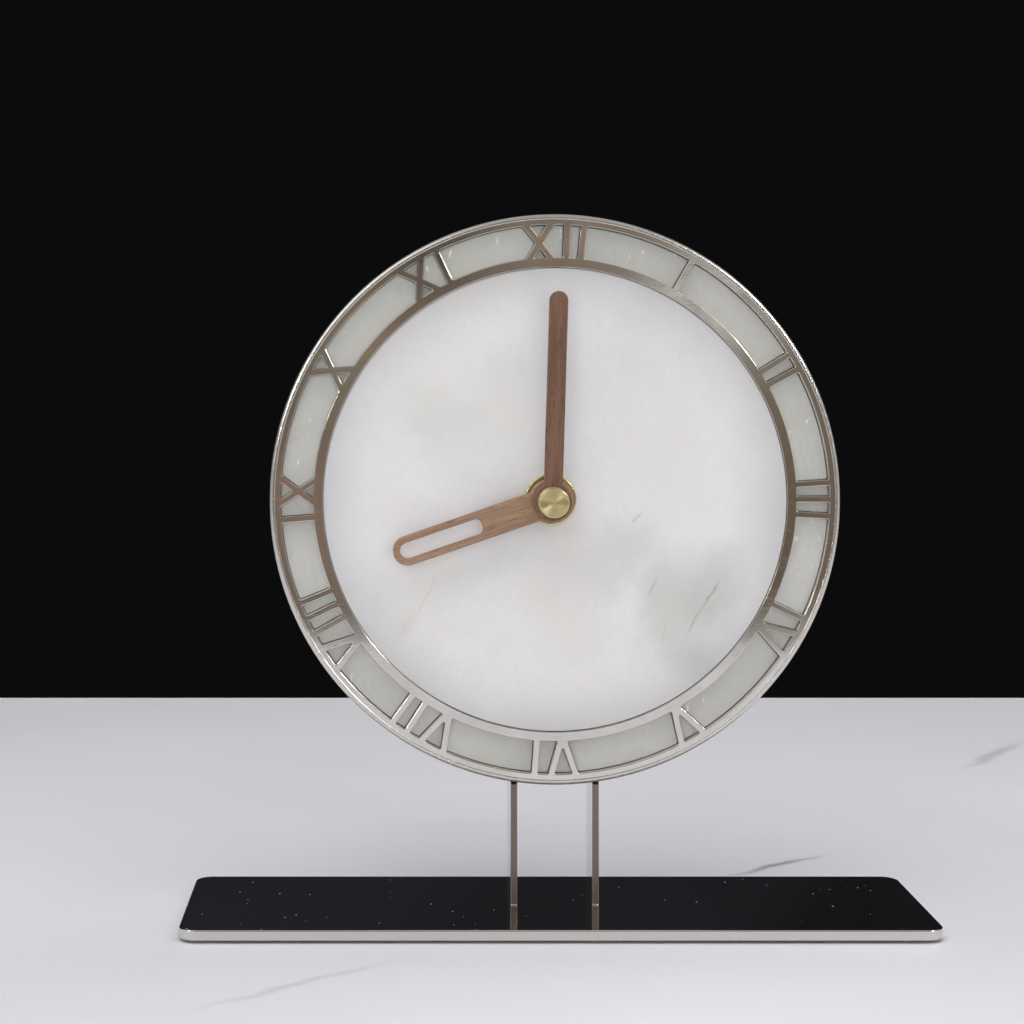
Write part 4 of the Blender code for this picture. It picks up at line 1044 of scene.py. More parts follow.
@dataclass
class Stand:
    """The mirror-polished base plate on four rubber pads, and the two posts welded to it."""

    corner: float = 6.0 * MM
    edge: float = 0.45 * MM
    pad_edge: float = 0.25 * MM
    post_edge: float = 0.2 * MM
    post_corner: float = 0.36 * MM
    bead: float = 0.42 * MM
    dark_weld_painted_shade: float = 0.62 * MM
    bright_weld: float = 0.30 * MM
    sunk: float = 0.12 * MM

    def build(self) -> None:
        """Build every piece of the stand."""
        self.base()
        self.pads()
        self.posts()

    def base(self) -> None:
        """The plate: its rounded edge carried round a rectangle with round corners."""
        box = Box.of("base_plate")
        plane = Plane((box.middle.x, box.middle.y, box.high.z), (1, 0, 0), (0, 1, 0), (0, 0, -1))
        outline = rounded_box(box.size.x, box.size.y, self.corner, 20)
        mesh = plate_mesh("base_sheet", [outline], box.size.z, plane, self.edge, 4)
        show("base_sheet", mesh, Style.BASE.value, Body.CLOCK, ["base_plate"])

    def pads(self) -> None:
        """Four round pads with a rounded foot, pressed against the plate."""
        for where in ("front_left", "front_right", "back_left", "back_right"):
            box = Box.of("foot_pad_" + where)
            plane = Plane((box.middle.x, box.middle.y, box.low.z), (1, 0, 0), (0, 1, 0), (0, 0, 1))
            r, h = box.size.x / 2, box.size.z
            outline = np.array([[0, 0], [r, 0], [r, h], [0, h]])
            profile = softened(outline, np.array([0, self.pad_edge, self.pad_edge / 2, 0]), 3)
            mesh = turned_mesh("pad_" + where, profile, plane, 48)
            show("pad_" + where, mesh, Style.RUBBER.value, Body.CLOCK, ["foot_pad_" + where])

    def posts(self) -> None:
        """Two flat bars with softened edges; the top of each follows the curve of the hoop."""
        rim = Box.of("rim_band")
        radius = rim.size.z / 2
        for side in ("left", "right"):
            box = Box.of("post_" + side)
            x = np.linspace(box.high.x, box.low.x, 3)
            top = np.stack([x, rim.middle.z - np.sqrt(radius ** 2 - x ** 2) - self.sunk], 1)
            foot = box.low.z - 0.15 * MM
            outline = np.concatenate([[[box.low.x, foot], [box.high.x, foot]], top])
            outline = softened(outline, self.post_corner, 4, 0.8)
            plane = dial_plane(0, 0, box.low.y)
            mesh = plate_mesh("bar_" + side, [outline], box.size.y, plane, self.post_edge, 3)
            bar = show("bar_" + side, mesh, Style.POST.value, Body.CLOCK, ["post_" + side])
            bar.data.materials.append(Style.CUT.value.material())
            self.cut_edges(mesh)
            self.beads(side, box, top, foot)
            self.front_welds(side, box, top, foot)

    @staticmethod
    def cut_edges(mesh: bpy.types.Mesh) -> None:
        """Give the second material to the narrow cut faces, which look along Y."""
        normals = np.zeros(len(mesh.polygons) * 3)
        mesh.polygons.foreach_get("normal", normals)
        narrow = np.abs(normals.reshape(-1, 3)[:, 1]) > math.cos(math.radians(30))
        mesh.polygons.foreach_set("material_index", narrow.astype(int))

    def front_welds(self, side: str, box: Box, top: Array, foot: float) -> None:
        """The weld across the front of a post: near black at the hoop, painted shade of the gap under the
        hoop's rounded edge; bright at the base.

        Args:
            side: which post.
            box: the post's box.
            top: the points of its top end, from right to left.
            foot: height of its lower end.
        """
        x = np.linspace(box.low.x + 0.1 * MM, box.high.x - 0.1 * MM, 15)
        share = np.linspace(-1, 1, 15)
        swell = np.sqrt(np.clip(1 - share ** 2, 0.06, 1))
        upper, lower = top[:, 1].mean() - 0.35 * MM, foot + 0.05 * MM
        # the top bead's near-black colour is painted shade of the gap under the hoop
        for name, z, size, finish in (("top", upper, self.dark_weld_painted_shade, Style.PAINTED_SHADE_WELD),
                                      ("foot", lower, self.bright_weld, Style.POST)):
            path = np.stack([x, np.full_like(x, box.low.y + self.sunk), np.full_like(x, z)], 1)
            mesh = swept_mesh(f"weld_{side}_front_{name}", path, size * swell, 14)
            show(f"weld_{side}_front_{name}", mesh, finish.value, Body.CLOCK)

    def beads(self, side: str, box: Box, top: Array, foot: float) -> None:
        """Weld seams: thin rounded beads along both faces of a post, at its top and its foot.

        Args:
            side: which post.
            box: the post's box.
            top: the points of its top end, from right to left.
            foot: height of its lower end.
        """
        seams = {"top_right": (box.high.x, top[0, 1]), "top_left": (box.low.x, top[-1, 1]),
                 "foot_right": (box.high.x, foot), "foot_left": (box.low.x, foot)}
        for name, (x, z) in seams.items():
            y = np.linspace(box.low.y + self.bead, box.high.y - self.bead, 60)
            lumps = 1 + 0.12 * np.sin(y / (0.5 * MM)) + 0.06 * np.sin(y / (0.23 * MM) + 1.0)
            share = (y - y[0]) / (y[-1] - y[0])
            ends = np.sqrt(np.clip(1 - (2 * share - 1) ** 16, 0.05, 1))
            path = np.stack([np.full_like(y, x), y, np.full_like(y, z)], 1)
            size = self.bead * (0.55 if name.startswith("foot") else 1.0)
            mesh = swept_mesh(f"weld_{side}_{name}", path, size * lumps * ends, 12)
            show(f"weld_{side}_{name}", mesh, Style.POST.value, Body.CLOCK)


@dataclass(frozen=True)
class Letter:
    """One letter of a numeral, on its own radius: stroke middles at its top and its foot."""

    kind: str
    angle: float
    top: float
    foot: float
    stroke: float
    outer: float
    inner: float

    @property
    def travel(self) -> float:
        """How far a stroke leans between its foot and its top."""
        return self.top + self.foot if self.kind == "X" else self.top - self.foot

    @property
    def half(self) -> float:
        """Half a stroke, measured across the letter."""
        height = self.outer - self.inner
        return self.stroke / 2 * math.hypot(height, self.travel) / height

    def place(self, u: Array, share: Array) -> Array:
        """Dial points from u across the letter and a share of the way out.

        At the ends v follows the two circles: v = sqrt(radius^2 - u^2). Then (u, v) is turned by the
        letter's angle.

        Args:
            u: distance across the letter, clockwise.
            share: 0 at the inner circle and 1 at the outer one.

        Returns:
            Points of shape (n, 2).
        """
        u, share = np.asarray(u, float), np.asarray(share, float)
        straight = self.inner + share * (self.outer - self.inner)
        v = np.where(share <= 0, np.sqrt(self.inner ** 2 - u ** 2),
                     np.where(share >= 1, np.sqrt(self.outer ** 2 - u ** 2), straight))
        c, s = math.cos(self.angle), math.sin(self.angle)
        return np.stack([u * c + v * s, v * c - u * s], 1)

    def edge(self, side: int) -> Array:
        """The letter's outer edge on one side, from the inner circle outwards.

        Args:
            side: -1 for the left and 1 for the right.

        Returns:
            Points of shape (n, 2).
        """
        u, share = [side * (self.foot + self.half), side * (self.top + self.half)], [0.0, 1.0]
        if self.kind == "X":
            u.insert(1, side * self.half)
            share.insert(1, self.foot / self.travel)
        return self.place(u, share)

    def gaps(self) -> list[Array]:
        """The closed gaps inside a V or an X, as clockwise triangles."""
        if self.kind == "I":
            return []
        tip = (self.foot + self.half if self.kind == "X" else self.half - self.foot) / self.travel
        wide = self.top - self.half
        upper = self.fan(self.place([0.0], [tip]), wide, 1)
        if self.kind == "V":
            return [upper]
        low = (self.foot - self.half) / self.travel
        return [upper, self.fan(self.place([0.0], [low]), self.foot - self.half, 0)]

    def fan(self, tip: Array, half_base: float, share: int) -> Array:
        """A gap with its base on one of the two circles, as a clockwise outline.

        Args:
            tip: the point opposite the base, of shape (1, 2).
            half_base: half the length of the base.
            share: 1 for a base on the outer circle and 0 for the inner one.

        Returns:
            Points of shape (n, 2).
        """
        u = np.linspace(-half_base, half_base, 5) * (1 if share else -1)
        return np.concatenate([tip, self.place(u, np.full(5, float(share)))])


@dataclass
class Numerals:
    """Twelve roman numerals cut through the ring: strokes stand where the steel is left."""

    outer: float = 96.1 * MM
    inner: float = 84.5 * MM
    stroke: float = 2.1 * MM
    pitch: float = 5.9 * MM
    v_top: float = 8.5 * MM
    v_foot: float = 1.2 * MM
    x_top: float = 8.6 * MM
    x_foot: float = 7.4 * MM
    texts: tuple[str, ...] = ("I", "II", "III", "IV", "V", "VI", "VII", "VIII", "IX", "X", "XI", "XII")

    def letters(self) -> list[Letter]:
        """Every letter, in clockwise order, spaced evenly about its hour."""
        tops = {"I": 0.0, "V": self.v_top, "X": self.x_top}
        feet = {"I": 0.0, "V": self.v_foot, "X": self.x_foot}
        found = []
        for hour, text in enumerate(self.texts, start=1):
            along = -(sum(tops[c] for c in text) + self.pitch * (len(text) - 1)) / 2
            for kind in text:
                along += tops[kind] / 2
                angle = math.radians(30 * hour) + along / self.outer
                found.append(Letter(kind, angle, tops[kind] / 2, feet[kind] / 2, self.stroke, self.outer,
                                    self.inner))
                along += tops[kind] / 2 + self.pitch
        return found

    def openings(self) -> tuple[list[Array], list[Array]]:
        """Openings of the ring, as clockwise outlines.

        Returns:
            The twelve wide ones between the numerals, and the small ones within them.
        """
        letters = self.letters()
        wide, small = [], []
        for here, following in zip(letters, letters[1:] + letters[:1]):
            left, right = here.edge(1), following.edge(-1)
            ends = np.unwrap([math.atan2(*left[-1]), math.atan2(*right[-1])])
            feet = np.unwrap([math.atan2(*left[0]), math.atan2(*right[0])])
            loop = np.concatenate([left, arc(self.outer, ends[0], ends[1]), right[::-1],
                                   arc(self.inner, feet[1], feet[0])])
            (wide if ends[1] - ends[0] > math.radians(8) else small).append(loop)
            small.extend(here.gaps())
        return wide, small


@dataclass
class Drum:
    """The steel hoop with its pierced ring, stone disc and stone inlays, and its black back."""

    numerals: Numerals = field(default_factory=Numerals)
    corner: float = 0.6 * MM
    ring_edge: float = 0.22 * MM
    wall: float = 1.5 * MM
    round: float = 1.6 * MM
    seam: float = 0.3 * MM
    proud: float = 0.015 * MM
    stone_gap: float = 0.12 * MM
    bore: float = 6.2 * MM
    screw_key: float = 1.15 * MM
    window: float = 62.0 * MM
    window_corner: float = 4.0 * MM
    clouds_and_hub_shade: tuple[tuple[float, float, float, float, float, float, str], ...] = (
        (46, -37, 22, 32, 38, 0.38, "8f9484"), (24, -19, 17, 24, 35, 0.24, "8f9484"),
        (57, -30, 12, 24, 30, 0.16, "8f9484"), (34, -31, 8, 17, 20, 0.18, "8f9484"),
        # the grey patch at (2, -8) round the hub is painted shade of the hands, not a cloud in the stone
        (50, -58, 16, 14, 20, 0.22, "8f9484"), (2, -8, 24, 26, 0, 0.14, "b4b5b0"),
        (-42, 30, 26, 14, 25, 0.10, "8f9484"), (4, -34, 42, 20, 80, 0.10, "c9a78c"))
    lines: tuple[tuple[float, float, float, float, float, float, str], ...] = (
        (54.5, -33, 0.7, 8, 32, 0.42, "6f7468"), (49, -42, 0.6, 9, 28, 0.36, "7c8172"),
        (34, -31, 0.6, 6, 22, 0.30, "7c8172"), (28.5, -6.5, 0.6, 4, 45, 0.30, "7c8172"),
        (38, -47, 0.6, 6, 15, 0.20, "8f9484"), (-45, -34, 0.7, 12, 27, 0.22, "c9a78c"),
        (-52, -44, 3.5, 9, 30, 0.14, "c9a78c"))

    def __post_init__(self) -> None:
        """Take the drum's place from the frame."""
        self.rim = Box.of("rim_band")
        self.x, self.z = self.rim.middle.x, self.rim.middle.z

    def build(self) -> None:
        """Build every piece of the drum."""
        self.hoop()
        self.ring()
        self.disc()
        self.stones()
        self.backing()
        self.cover()

    def hoop(self) -> None:
        """The hoop: a quarter round at its front, whose thin polished-over seam laps the ring's edge.

        Quarter round: radius = outer - R (1 - sin t), depth = R (1 - cos t).
        """
        radius, depth = self.rim.size.z / 2, self.rim.size.y
        inner = Box.of("chapter_ring").size.z / 2 - self.ring_edge
        front = self.rim.low.y - self.proud
        t = np.linspace(0, np.pi / 2, 17)
        bend = np.stack([radius - self.round * (1 - np.sin(t)), self.round * (1 - np.cos(t))], 1)
        rear = softened(np.array([[radius, depth / 2], [radius, depth], [radius - self.wall, depth],
                                  [radius - self.wall, self.seam]]), np.array([0, 0.4, 0.3, 0]) * MM, 5)
        profile = np.concatenate([[[inner, 0]], bend, rear, [[inner, self.seam]]])
        mesh = turned_mesh("rim_hoop", profile, dial_plane(self.x, self.z, front), 288)
        show("rim_hoop", mesh, Style.RIM.value, Body.CLOCK, ["rim_band"])

    def ring(self) -> None:
        """The numeral ring: two circles and the openings, with a lip round its inner edge."""
        box = Box.of("chapter_ring")
        wide, small = self.numerals.openings()
        self.wide = [softened(loop, self.corner, 4, 0.25) for loop in wide]
        self.small = [softened(loop, self.corner * 0.7, 4, 0.25) for loop in small]
        outer = box.size.z / 2
        inner = Box.of("dial_disc").size.z / 2 + 0.15 * MM
        loops = [ring(outer, 288), ring(inner, 288)[::-1], *self.wide, *self.small]
        plane = dial_plane(self.x, self.z, box.low.y)
        mesh = plate_mesh("numeral_ring", loops, box.size.y, plane, self.ring_edge, 3)
        show("numeral_ring", mesh, Style.RING.value, Body.CLOCK, ["chapter_ring"])

    def disc(self) -> None:
        """The marble disc, with its edge and its hole softened."""
        box = Box.of("dial_disc")
        r, depth = box.size.z / 2, box.size.y
        outline = np.array([[self.bore, 0], [r, 0], [r, depth], [self.bore, depth]])
        profile = softened(outline, np.array([0.2, 0.3, 0.2, 0.2]) * MM, 4)
        mesh = turned_mesh("marble_disc", profile, dial_plane(self.x, self.z, box.low.y), 256)
        show("marble_disc", mesh, self.stone(), Body.CLOCK, ["dial_disc"])

    def stone(self) -> HonedMarble:
        """The disc's marble: grey-green clouds and short cracks low at the right, a rust line at the left, a
        grey patch round the hub that is painted shade of the hands, and painted shade towards the rim.
        """
        middle = (self.x, 0, self.z)
        return HonedMarble("white_marble_honed", centre=middle,
                           spots=tuple(Spot.upright(middle, row) for row in self.clouds_and_hub_shade),
                           cracks=tuple(Spot.upright(middle, row) for row in self.lines))

    def stones(self) -> None:
        """One stone in each opening of the ring, a little smaller than the opening."""
        first = Box.of("hour_panel_01")
        plane = dial_plane(self.x, self.z, first.low.y)
        for number, loop in enumerate(self.wide, start=1):
            outline = (loop + miter(loop) * -self.stone_gap)[::-1]
            mesh = plate_mesh(f"hour_stone_{number:02d}", [outline], first.size.y, plane, 0.15 * MM, 2)
            node = f"hour_panel_{number:02d}"
            show(f"hour_stone_{number:02d}", mesh, Style.PANEL.value, Body.CLOCK, [node])
        for number, loop in enumerate(self.small, start=1):
            outline = (loop + miter(loop) * -self.stone_gap)[::-1]
            mesh = plate_mesh(f"numeral_stone_{number:02d}", [outline], first.size.y, plane, 0.1 * MM, 1)
            show(f"numeral_stone_{number:02d}", mesh, Style.PANEL.value, Body.CLOCK)

    def backing(self) -> None:
        """The black board behind the ring and the disc."""
        box = Box.of("backing_plate")
        r, depth = box.size.z / 2, box.size.y
        outline = np.array([[self.bore, 0], [r, 0], [r, depth], [self.bore, depth]])
        plane = dial_plane(self.x, self.z, box.low.y)
        mesh = turned_mesh("back_board", softened(outline, 0.3 * MM, 2), plane, 192)
        show("back_board", mesh, Style.BLACK_SHEET.value, Body.CLOCK, ["backing_plate"])

    def cover(self) -> None:
        """The lid at the back with its square window, and its four screws."""
        box = Box.of("back_cover")
        window = rounded_box(self.window, self.window, self.window_corner, 8)[::-1]
        plane = dial_plane(self.x, self.z, box.low.y)
        mesh = plate_mesh("back_lid", [ring(box.size.z / 2, 256), window], box.size.y, plane, 0.3 * MM, 3)
        show("back_lid", mesh, Style.BLACK_SHEET.value, Body.CLOCK, ["back_cover"])
        for number in range(1, 5):
            node = f"back_cover_screw_{number}"
            screw = Box.of(node)
            mesh = self.screw(node, screw)
            show(f"lid_screw_{number}", mesh, Style.SCREW.value, Body.CLOCK, [node])

    def screw(self, name: str, box: Box) -> bpy.types.Mesh:
        """A domed head with a hexagonal socket.

        The dome's rows are circles at height h (1 - (r / R)^4). The socket's rows have the radius
        of a hexagon, a / cos(t mod 60 degrees - 30 degrees), down to a flat floor.

        Args:
            name: name of the mesh.
            box: the head's box.

        Returns:
            The closed mesh.
        """
        t = np.arange(72) * 2 * np.pi / 72
        hexagon = self.screw_key / np.cos(t % (np.pi / 3) - np.pi / 6)
        radius, height = box.size.x / 2, box.size.y
        share = np.array([0.001, 1, 1, 0.97, 0.9, 0.78, 0.68])
        rows = [share[:, None] * radius * np.ones_like(t)]
        deep = [0, 0, height * 0.35, height * 0.55, height * 0.78, height * 0.95, height]
        rows += [hexagon[None] * 1.12, hexagon[None], hexagon[None], np.zeros_like(t)[None]]
        deep += [height, height * 0.93, height * 0.3, height * 0.3]
        r = np.concatenate(rows)
        r[0] = 0
        points = np.stack([r * np.cos(t), r * np.sin(t), np.array(deep)[:, None] + 0 * t], 2)
        plane = dial_plane(box.middle.x, box.middle.z, box.low.y)
        mesh = make_mesh(name, plane.place(points.reshape(-1, 3)), grid_faces(len(r), len(t)))
        mesh.set_sharp_from_angle(angle=math.radians(35))
        return mesh


@dataclass
class Hand:
    """One walnut hand: a bar with a round tip growing out of a round boss, on a brass bush."""

    name: str
    body: Body
    slot: str
    angle: float
    length: float
    width: float
    boss: float
    tones: tuple[str, str, str]
    log_depth: float
    bush_bore: float
    slot_span: tuple[float, float, float] | None = None
    slot_corner: float = 2.0 * MM
    edge: float = 0.4 * MM
    boss_play: float = 0.1 * MM
    bush_edge: float = 0.2 * MM

    def build(self) -> None:
        """Build the wooden hand and its bush."""
        bush = Box.of(self.name + "_bush")
        dial = bush.middle
        box = Box.of(self.name)
        bore = bush.size.x / 2 + self.boss_play
        loops = [self.outline(), ring(bore, 64)[::-1]]
        if self.slot_span:
            loops.append(self.slot_outline(*self.slot_span))
        turn = np.array([[math.cos(self.angle), -math.sin(self.angle)],
                         [math.sin(self.angle), math.cos(self.angle)]])
        loops = [loop @ turn for loop in loops]
        plane = dial_plane(dial.x, dial.z, box.low.y)
        mesh = plate_mesh(self.name + "_walnut", loops, box.size.y, plane, self.edge, 4)
        wood = OiledWalnut("walnut_sawn_oiled_" + self.name, (dial.x, self.log_depth, dial.z), self.angle,
                           *self.tones)
        show(self.name + "_walnut", mesh, wood, self.body, [self.name])
        r, h = bush.size.x / 2, bush.size.y
        outline = np.array([[self.bush_bore, 0], [r, 0], [r, h], [self.bush_bore, h]])
        sleeve = turned_mesh(self.name + "_brass_bush", softened(outline, self.bush_edge, 2),
                             dial_plane(dial.x, dial.z, bush.low.y), 64)
        show(self.name + "_brass_bush", sleeve, Style.BRASS.value, self.body,
             [self.name + "_bush"])

    def outline(self) -> Array:
        """Anticlockwise outline, pointing to twelve: boss circle, straight sides, half circle tip."""
        half = self.width / 2
        start = math.asin(half / self.boss)
        around = np.linspace(2 * math.pi - start, start, 61)
        boss = self.boss * np.stack([np.sin(around), np.cos(around)], 1)
        t = np.linspace(np.pi / 2, -np.pi / 2, 33)
        tip = half * np.stack([np.sin(t), np.cos(t)], 1) + [0, self.length - half]
        sides = np.linspace(0.15, 0.95, 9)[:, None]
        rise = boss[-1] + (tip[0] - boss[-1]) * sides
        fall = tip[-1] + (boss[0] - tip[-1]) * sides
        loop = np.concatenate([boss, rise, tip, fall])
        return softened(loop, 0.5 * MM, 4, 0.3)

    def slot_outline(self, start: float, end: float, width: float) -> Array:
        """Clockwise slot with a round end and a foot with round corners.

        Args:
            start: where it begins along the hand.
            end: where its round end reaches.
            width: its width.

        Returns:
            Points of shape (n, 2).
        """
        half = width / 2
        t = np.linspace(-np.pi / 2, np.pi / 2, 25)
        tip = half * np.stack([np.sin(t), np.cos(t)], 1) + [0, end - half]
        foot = np.array([[half, start], [-half, start]])
        return softened(np.concatenate([tip, foot]), self.slot_corner, 6, 1.0)


@dataclass
class Fixings:
    """Turned brass at the middle of the dial: the stepped nut and the cap."""

    chamfer: float = 0.4 * MM
    nut_step: float = 7.2 * MM
    nut_bore: float = 4.15 * MM
    flange: float = 1.6 * MM
    cap_bore: float = 1.65 * MM
    cap_bore_depth: float = 3.0 * MM

    def build(self) -> None:
        """Build the nut and the cap."""
        nut, cap = Box.of("fixing_nut"), Box.of("centre_cap")
        x, z = nut.middle.x, nut.middle.z
        flange, depth, step, bore = nut.size.x / 2, nut.size.y, self.nut_step, self.nut_bore
        ledge = depth - self.flange
        outline = np.array([[bore, 0], [step, 0], [step, ledge], [flange, ledge], [flange, depth],
                            [bore, depth]])
        profile = softened(outline, np.array([0.3, 0.45, 0.15, 0.5, 0.1, 0.1]) * MM, 4)
        mesh = turned_mesh("brass_nut", profile, dial_plane(x, z, nut.low.y), 128)
        show("brass_nut", mesh, Style.BRASS.value, Body.CLOCK, ["fixing_nut"])
        r, length = cap.size.x / 2, cap.size.y
        bore, deep = self.cap_bore, self.cap_bore_depth
        face = np.array([[0, 0.05 * MM], [r - 0.85 * MM, 0.05 * MM], [r - 0.70 * MM, 0],
                         [r - self.chamfer, 0]])
        flank = np.array([[r, self.chamfer], [r, length - 0.15 * MM], [r - 0.15 * MM, length]])
        inside = np.array([[bore, length], [bore, length - deep], [0, length - deep]])
        corners = np.concatenate([face, flank, inside])
        rounding = np.full(len(corners), 0.10 * MM)
        rounding[[0, -1]] = 0
        profile = softened(corners, rounding, 3, 0.3)
        mesh = turned_mesh("brass_cap", profile, dial_plane(x, z, cap.low.y), 128)
        show("brass_cap", mesh, Style.CAP.value, Body.MINUTE, ["centre_cap"])


@dataclass
class Movement:
    """The quartz movement seen through the window at the back: case, lid, knob and cell."""

    side: float = 56.0 * MM
    wall: float = 1.3 * MM
    corner: float = 3.0 * MM
    height: float = 13.3 * MM
    floor: float = 3.7 * MM
    bay_corner: float = 1.0 * MM
    tube_bore: float = 3.0 * MM
    thread: float = 4.0 * MM
    thread_pitch: float = 0.75 * MM
    thread_depth: float = 0.3 * MM
    clip: tuple[float, float, float] = (0.9 * MM, 7.0 * MM, 8.0 * MM)
    flutes: int = 40
    flute_depth: float = 0.32 * MM
    knob_dish: float = 5.2 * MM
    rib: float = 0.45 * MM
    sleeve_split: float = 36.0 * MM

    def build(self) -> None:
        """Build the case and what is fitted to it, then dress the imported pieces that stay."""
        self.case_box = Box.of("movement_front_case")
        self.lid_box = Box.of("movement_rear_cover")
        self.dial = Box.of("fixing_nut").middle
        self.case()
        self.lid()
        self.knob()
        self.cell()
        self.dress_packed()

    def case(self) -> None:
        """The tray with its two bays: walls, floor, and the threaded tube through the dial."""
        half, inner = self.side / 2, self.side / 2 - self.wall
        divider = self.lid_box.low.z - self.dial.z
        floor_back = self.floor
        outline = rounded_box(self.side, self.side, self.corner, 8)
        centre = (self.dial.x, self.dial.z)
        bay_low = rounded_box(2 * inner, divider + inner, self.bay_corner, 4, (0, (divider - inner) / 2))
        top = divider + self.wall
        bay_high = rounded_box(2 * inner, inner - top, self.bay_corner, 4, (0, (inner + top) / 2))
        front = self.case_box.high.y - self.height
        floor = plate_mesh("case_floor", [outline, ring(self.tube_bore, 48)[::-1]], floor_back - front,
                           dial_plane(*centre, front), 0.3 * MM, 3)
        show("case_floor", floor, Style.BLACK_PLASTIC.value, Body.CLOCK,
             ["movement_front_case"])
        walls = plate_mesh("case_walls", [outline, bay_low[::-1], bay_high[::-1]],
                           self.case_box.high.y - floor_back, dial_plane(*centre, floor_back), 0.2 * MM, 3)
        show("case_walls", walls, Style.BLACK_PLASTIC.value, Body.CLOCK)
        self.tube(front)
        self.clips(half)

    def tube(self, back: float) -> None:
        """The tube that the nut clamps, its fine M8 thread drawn as rounded rings.

        Radius = outer - ridge (1 + cos(2 pi d / pitch)) / 2 along the depth d.

        Args:
            back: where the tube meets the case.
        """
        front = self.case_box.low.y
        d = np.linspace(0, back - front - 0.1 * MM, 200)
        wave = (1 + np.cos(2 * np.pi * d / self.thread_pitch)) / 2
        outer = self.thread - self.thread_depth * wave
        bore, lead = self.tube_bore, 0.05 * MM
        profile = np.concatenate([[[bore, 0], [bore + 0.5 * MM, 0]], np.stack([outer, d + lead], 1),
                                  [[bore, d[-1] + lead]]])
        mesh = turned_mesh("threaded_tube", profile, dial_plane(self.dial.x, self.dial.z, front), 48)
        show("threaded_tube", mesh, Style.BRASS.value, Body.CLOCK)

    def clips(self, half: float) -> None:
        """Four snap hooks on the outside of the case that hold the lid down.

        Args:
            half: half the side of the case.
        """
        back = self.lid_box.high.y
        thick, wide, long = self.clip
        for number, (side, z) in enumerate(((-1, 18.0), (-1, -4.0), (1, 18.0), (1, -4.0)), start=1):
            x = self.dial.x + side * (half + thick / 2)
            outline = rounded_box(thick, wide, 0.3 * MM, 3)
            plane = dial_plane(x, self.dial.z + z * MM, back - long)
            mesh = plate_mesh(f"lid_clip_{number}", [outline], long, plane, 0.25 * MM, 2)
            show(f"lid_clip_{number}", mesh, Style.BLACK_PLASTIC.value, Body.CLOCK)

    def lid(self) -> None:
        """The lid of the wheel bay with a raised frame and a collar round the knob's stem."""
        box = self.lid_box
        knob = Box.of("setting_knob").middle
        plane = dial_plane(0, 0, box.low.y)
        middle = (box.middle.x, box.middle.z)
        outline = rounded_box(box.size.x, box.size.z, 1.2 * MM, 5, middle)
        hole = ring(1.6 * MM, 32, (knob.x, knob.z))[::-1]
        mesh = plate_mesh("case_lid", [outline, hole], box.size.y - 0.35 * MM, plane, 0.3 * MM, 3)
        show("case_lid", mesh, Style.BLACK_PLASTIC.value, Body.CLOCK, ["movement_rear_cover"])
        frame_out = rounded_box(box.size.x - 4 * MM, box.size.z - 4 * MM, 2.0 * MM, 5, middle)
        frame_in = rounded_box(box.size.x - 5.6 * MM, box.size.z - 5.6 * MM, 1.3 * MM, 5, middle)[::-1]
        raised = dial_plane(0, 0, box.high.y - self.rib)
        mesh = plate_mesh("lid_frame", [frame_out, frame_in], self.rib, raised, 0.15 * MM, 2)
        show("lid_frame", mesh, Style.BLACK_PLASTIC.value, Body.CLOCK)
        for number, radius in enumerate((9.6 * MM, 2.9 * MM), start=1):
            loops = [ring(radius, 96, (knob.x, knob.z)), ring(radius - 0.7 * MM, 96, (knob.x, knob.z))[::-1]]
            mesh = plate_mesh(f"knob_collar_{number}", loops, self.rib, raised, 0.15 * MM, 2)
            show(f"knob_collar_{number}", mesh, Style.BLACK_PLASTIC.value, Body.CLOCK)

    def knob(self) -> None:
        """The fluted knob: radius = R - d (1 + cos(flutes t)) / 2, with a dished outer face."""
        box = Box.of("setting_knob")
        t = np.arange(720) * 2 * np.pi / 720
        r = box.size.x / 2 - self.flute_depth * (1 + np.cos(self.flutes * t)) / 2
        outline = np.stack([r * np.cos(t), r * np.sin(t)], 1)
        plane = dial_plane(box.middle.x, box.middle.z, box.low.y)
        depth = box.size.y
        loops = [outline, ring(self.knob_dish, 96)[::-1]]
        mesh = plate_mesh("hand_setting_knob", loops, depth, plane, 0.12 * MM, 3)
        show("hand_setting_knob", mesh, Style.WHITE_PLASTIC.value, Body.KNOB,
             ["setting_knob"])
        profile = np.array([[0, 0.4], [5.1, 0.4], [5.1, 2.0], [1.9, 2.3], [1.5, 2.9], [0, 2.9]]) * MM
        profile = softened(profile, np.array([0, 0.2, 0.1, 0.4, 0.3, 0]) * MM, 3)
        mesh = turned_mesh("knob_web", profile, plane, 96)
        show("knob_web", mesh, Style.WHITE_PLASTIC.value, Body.KNOB)

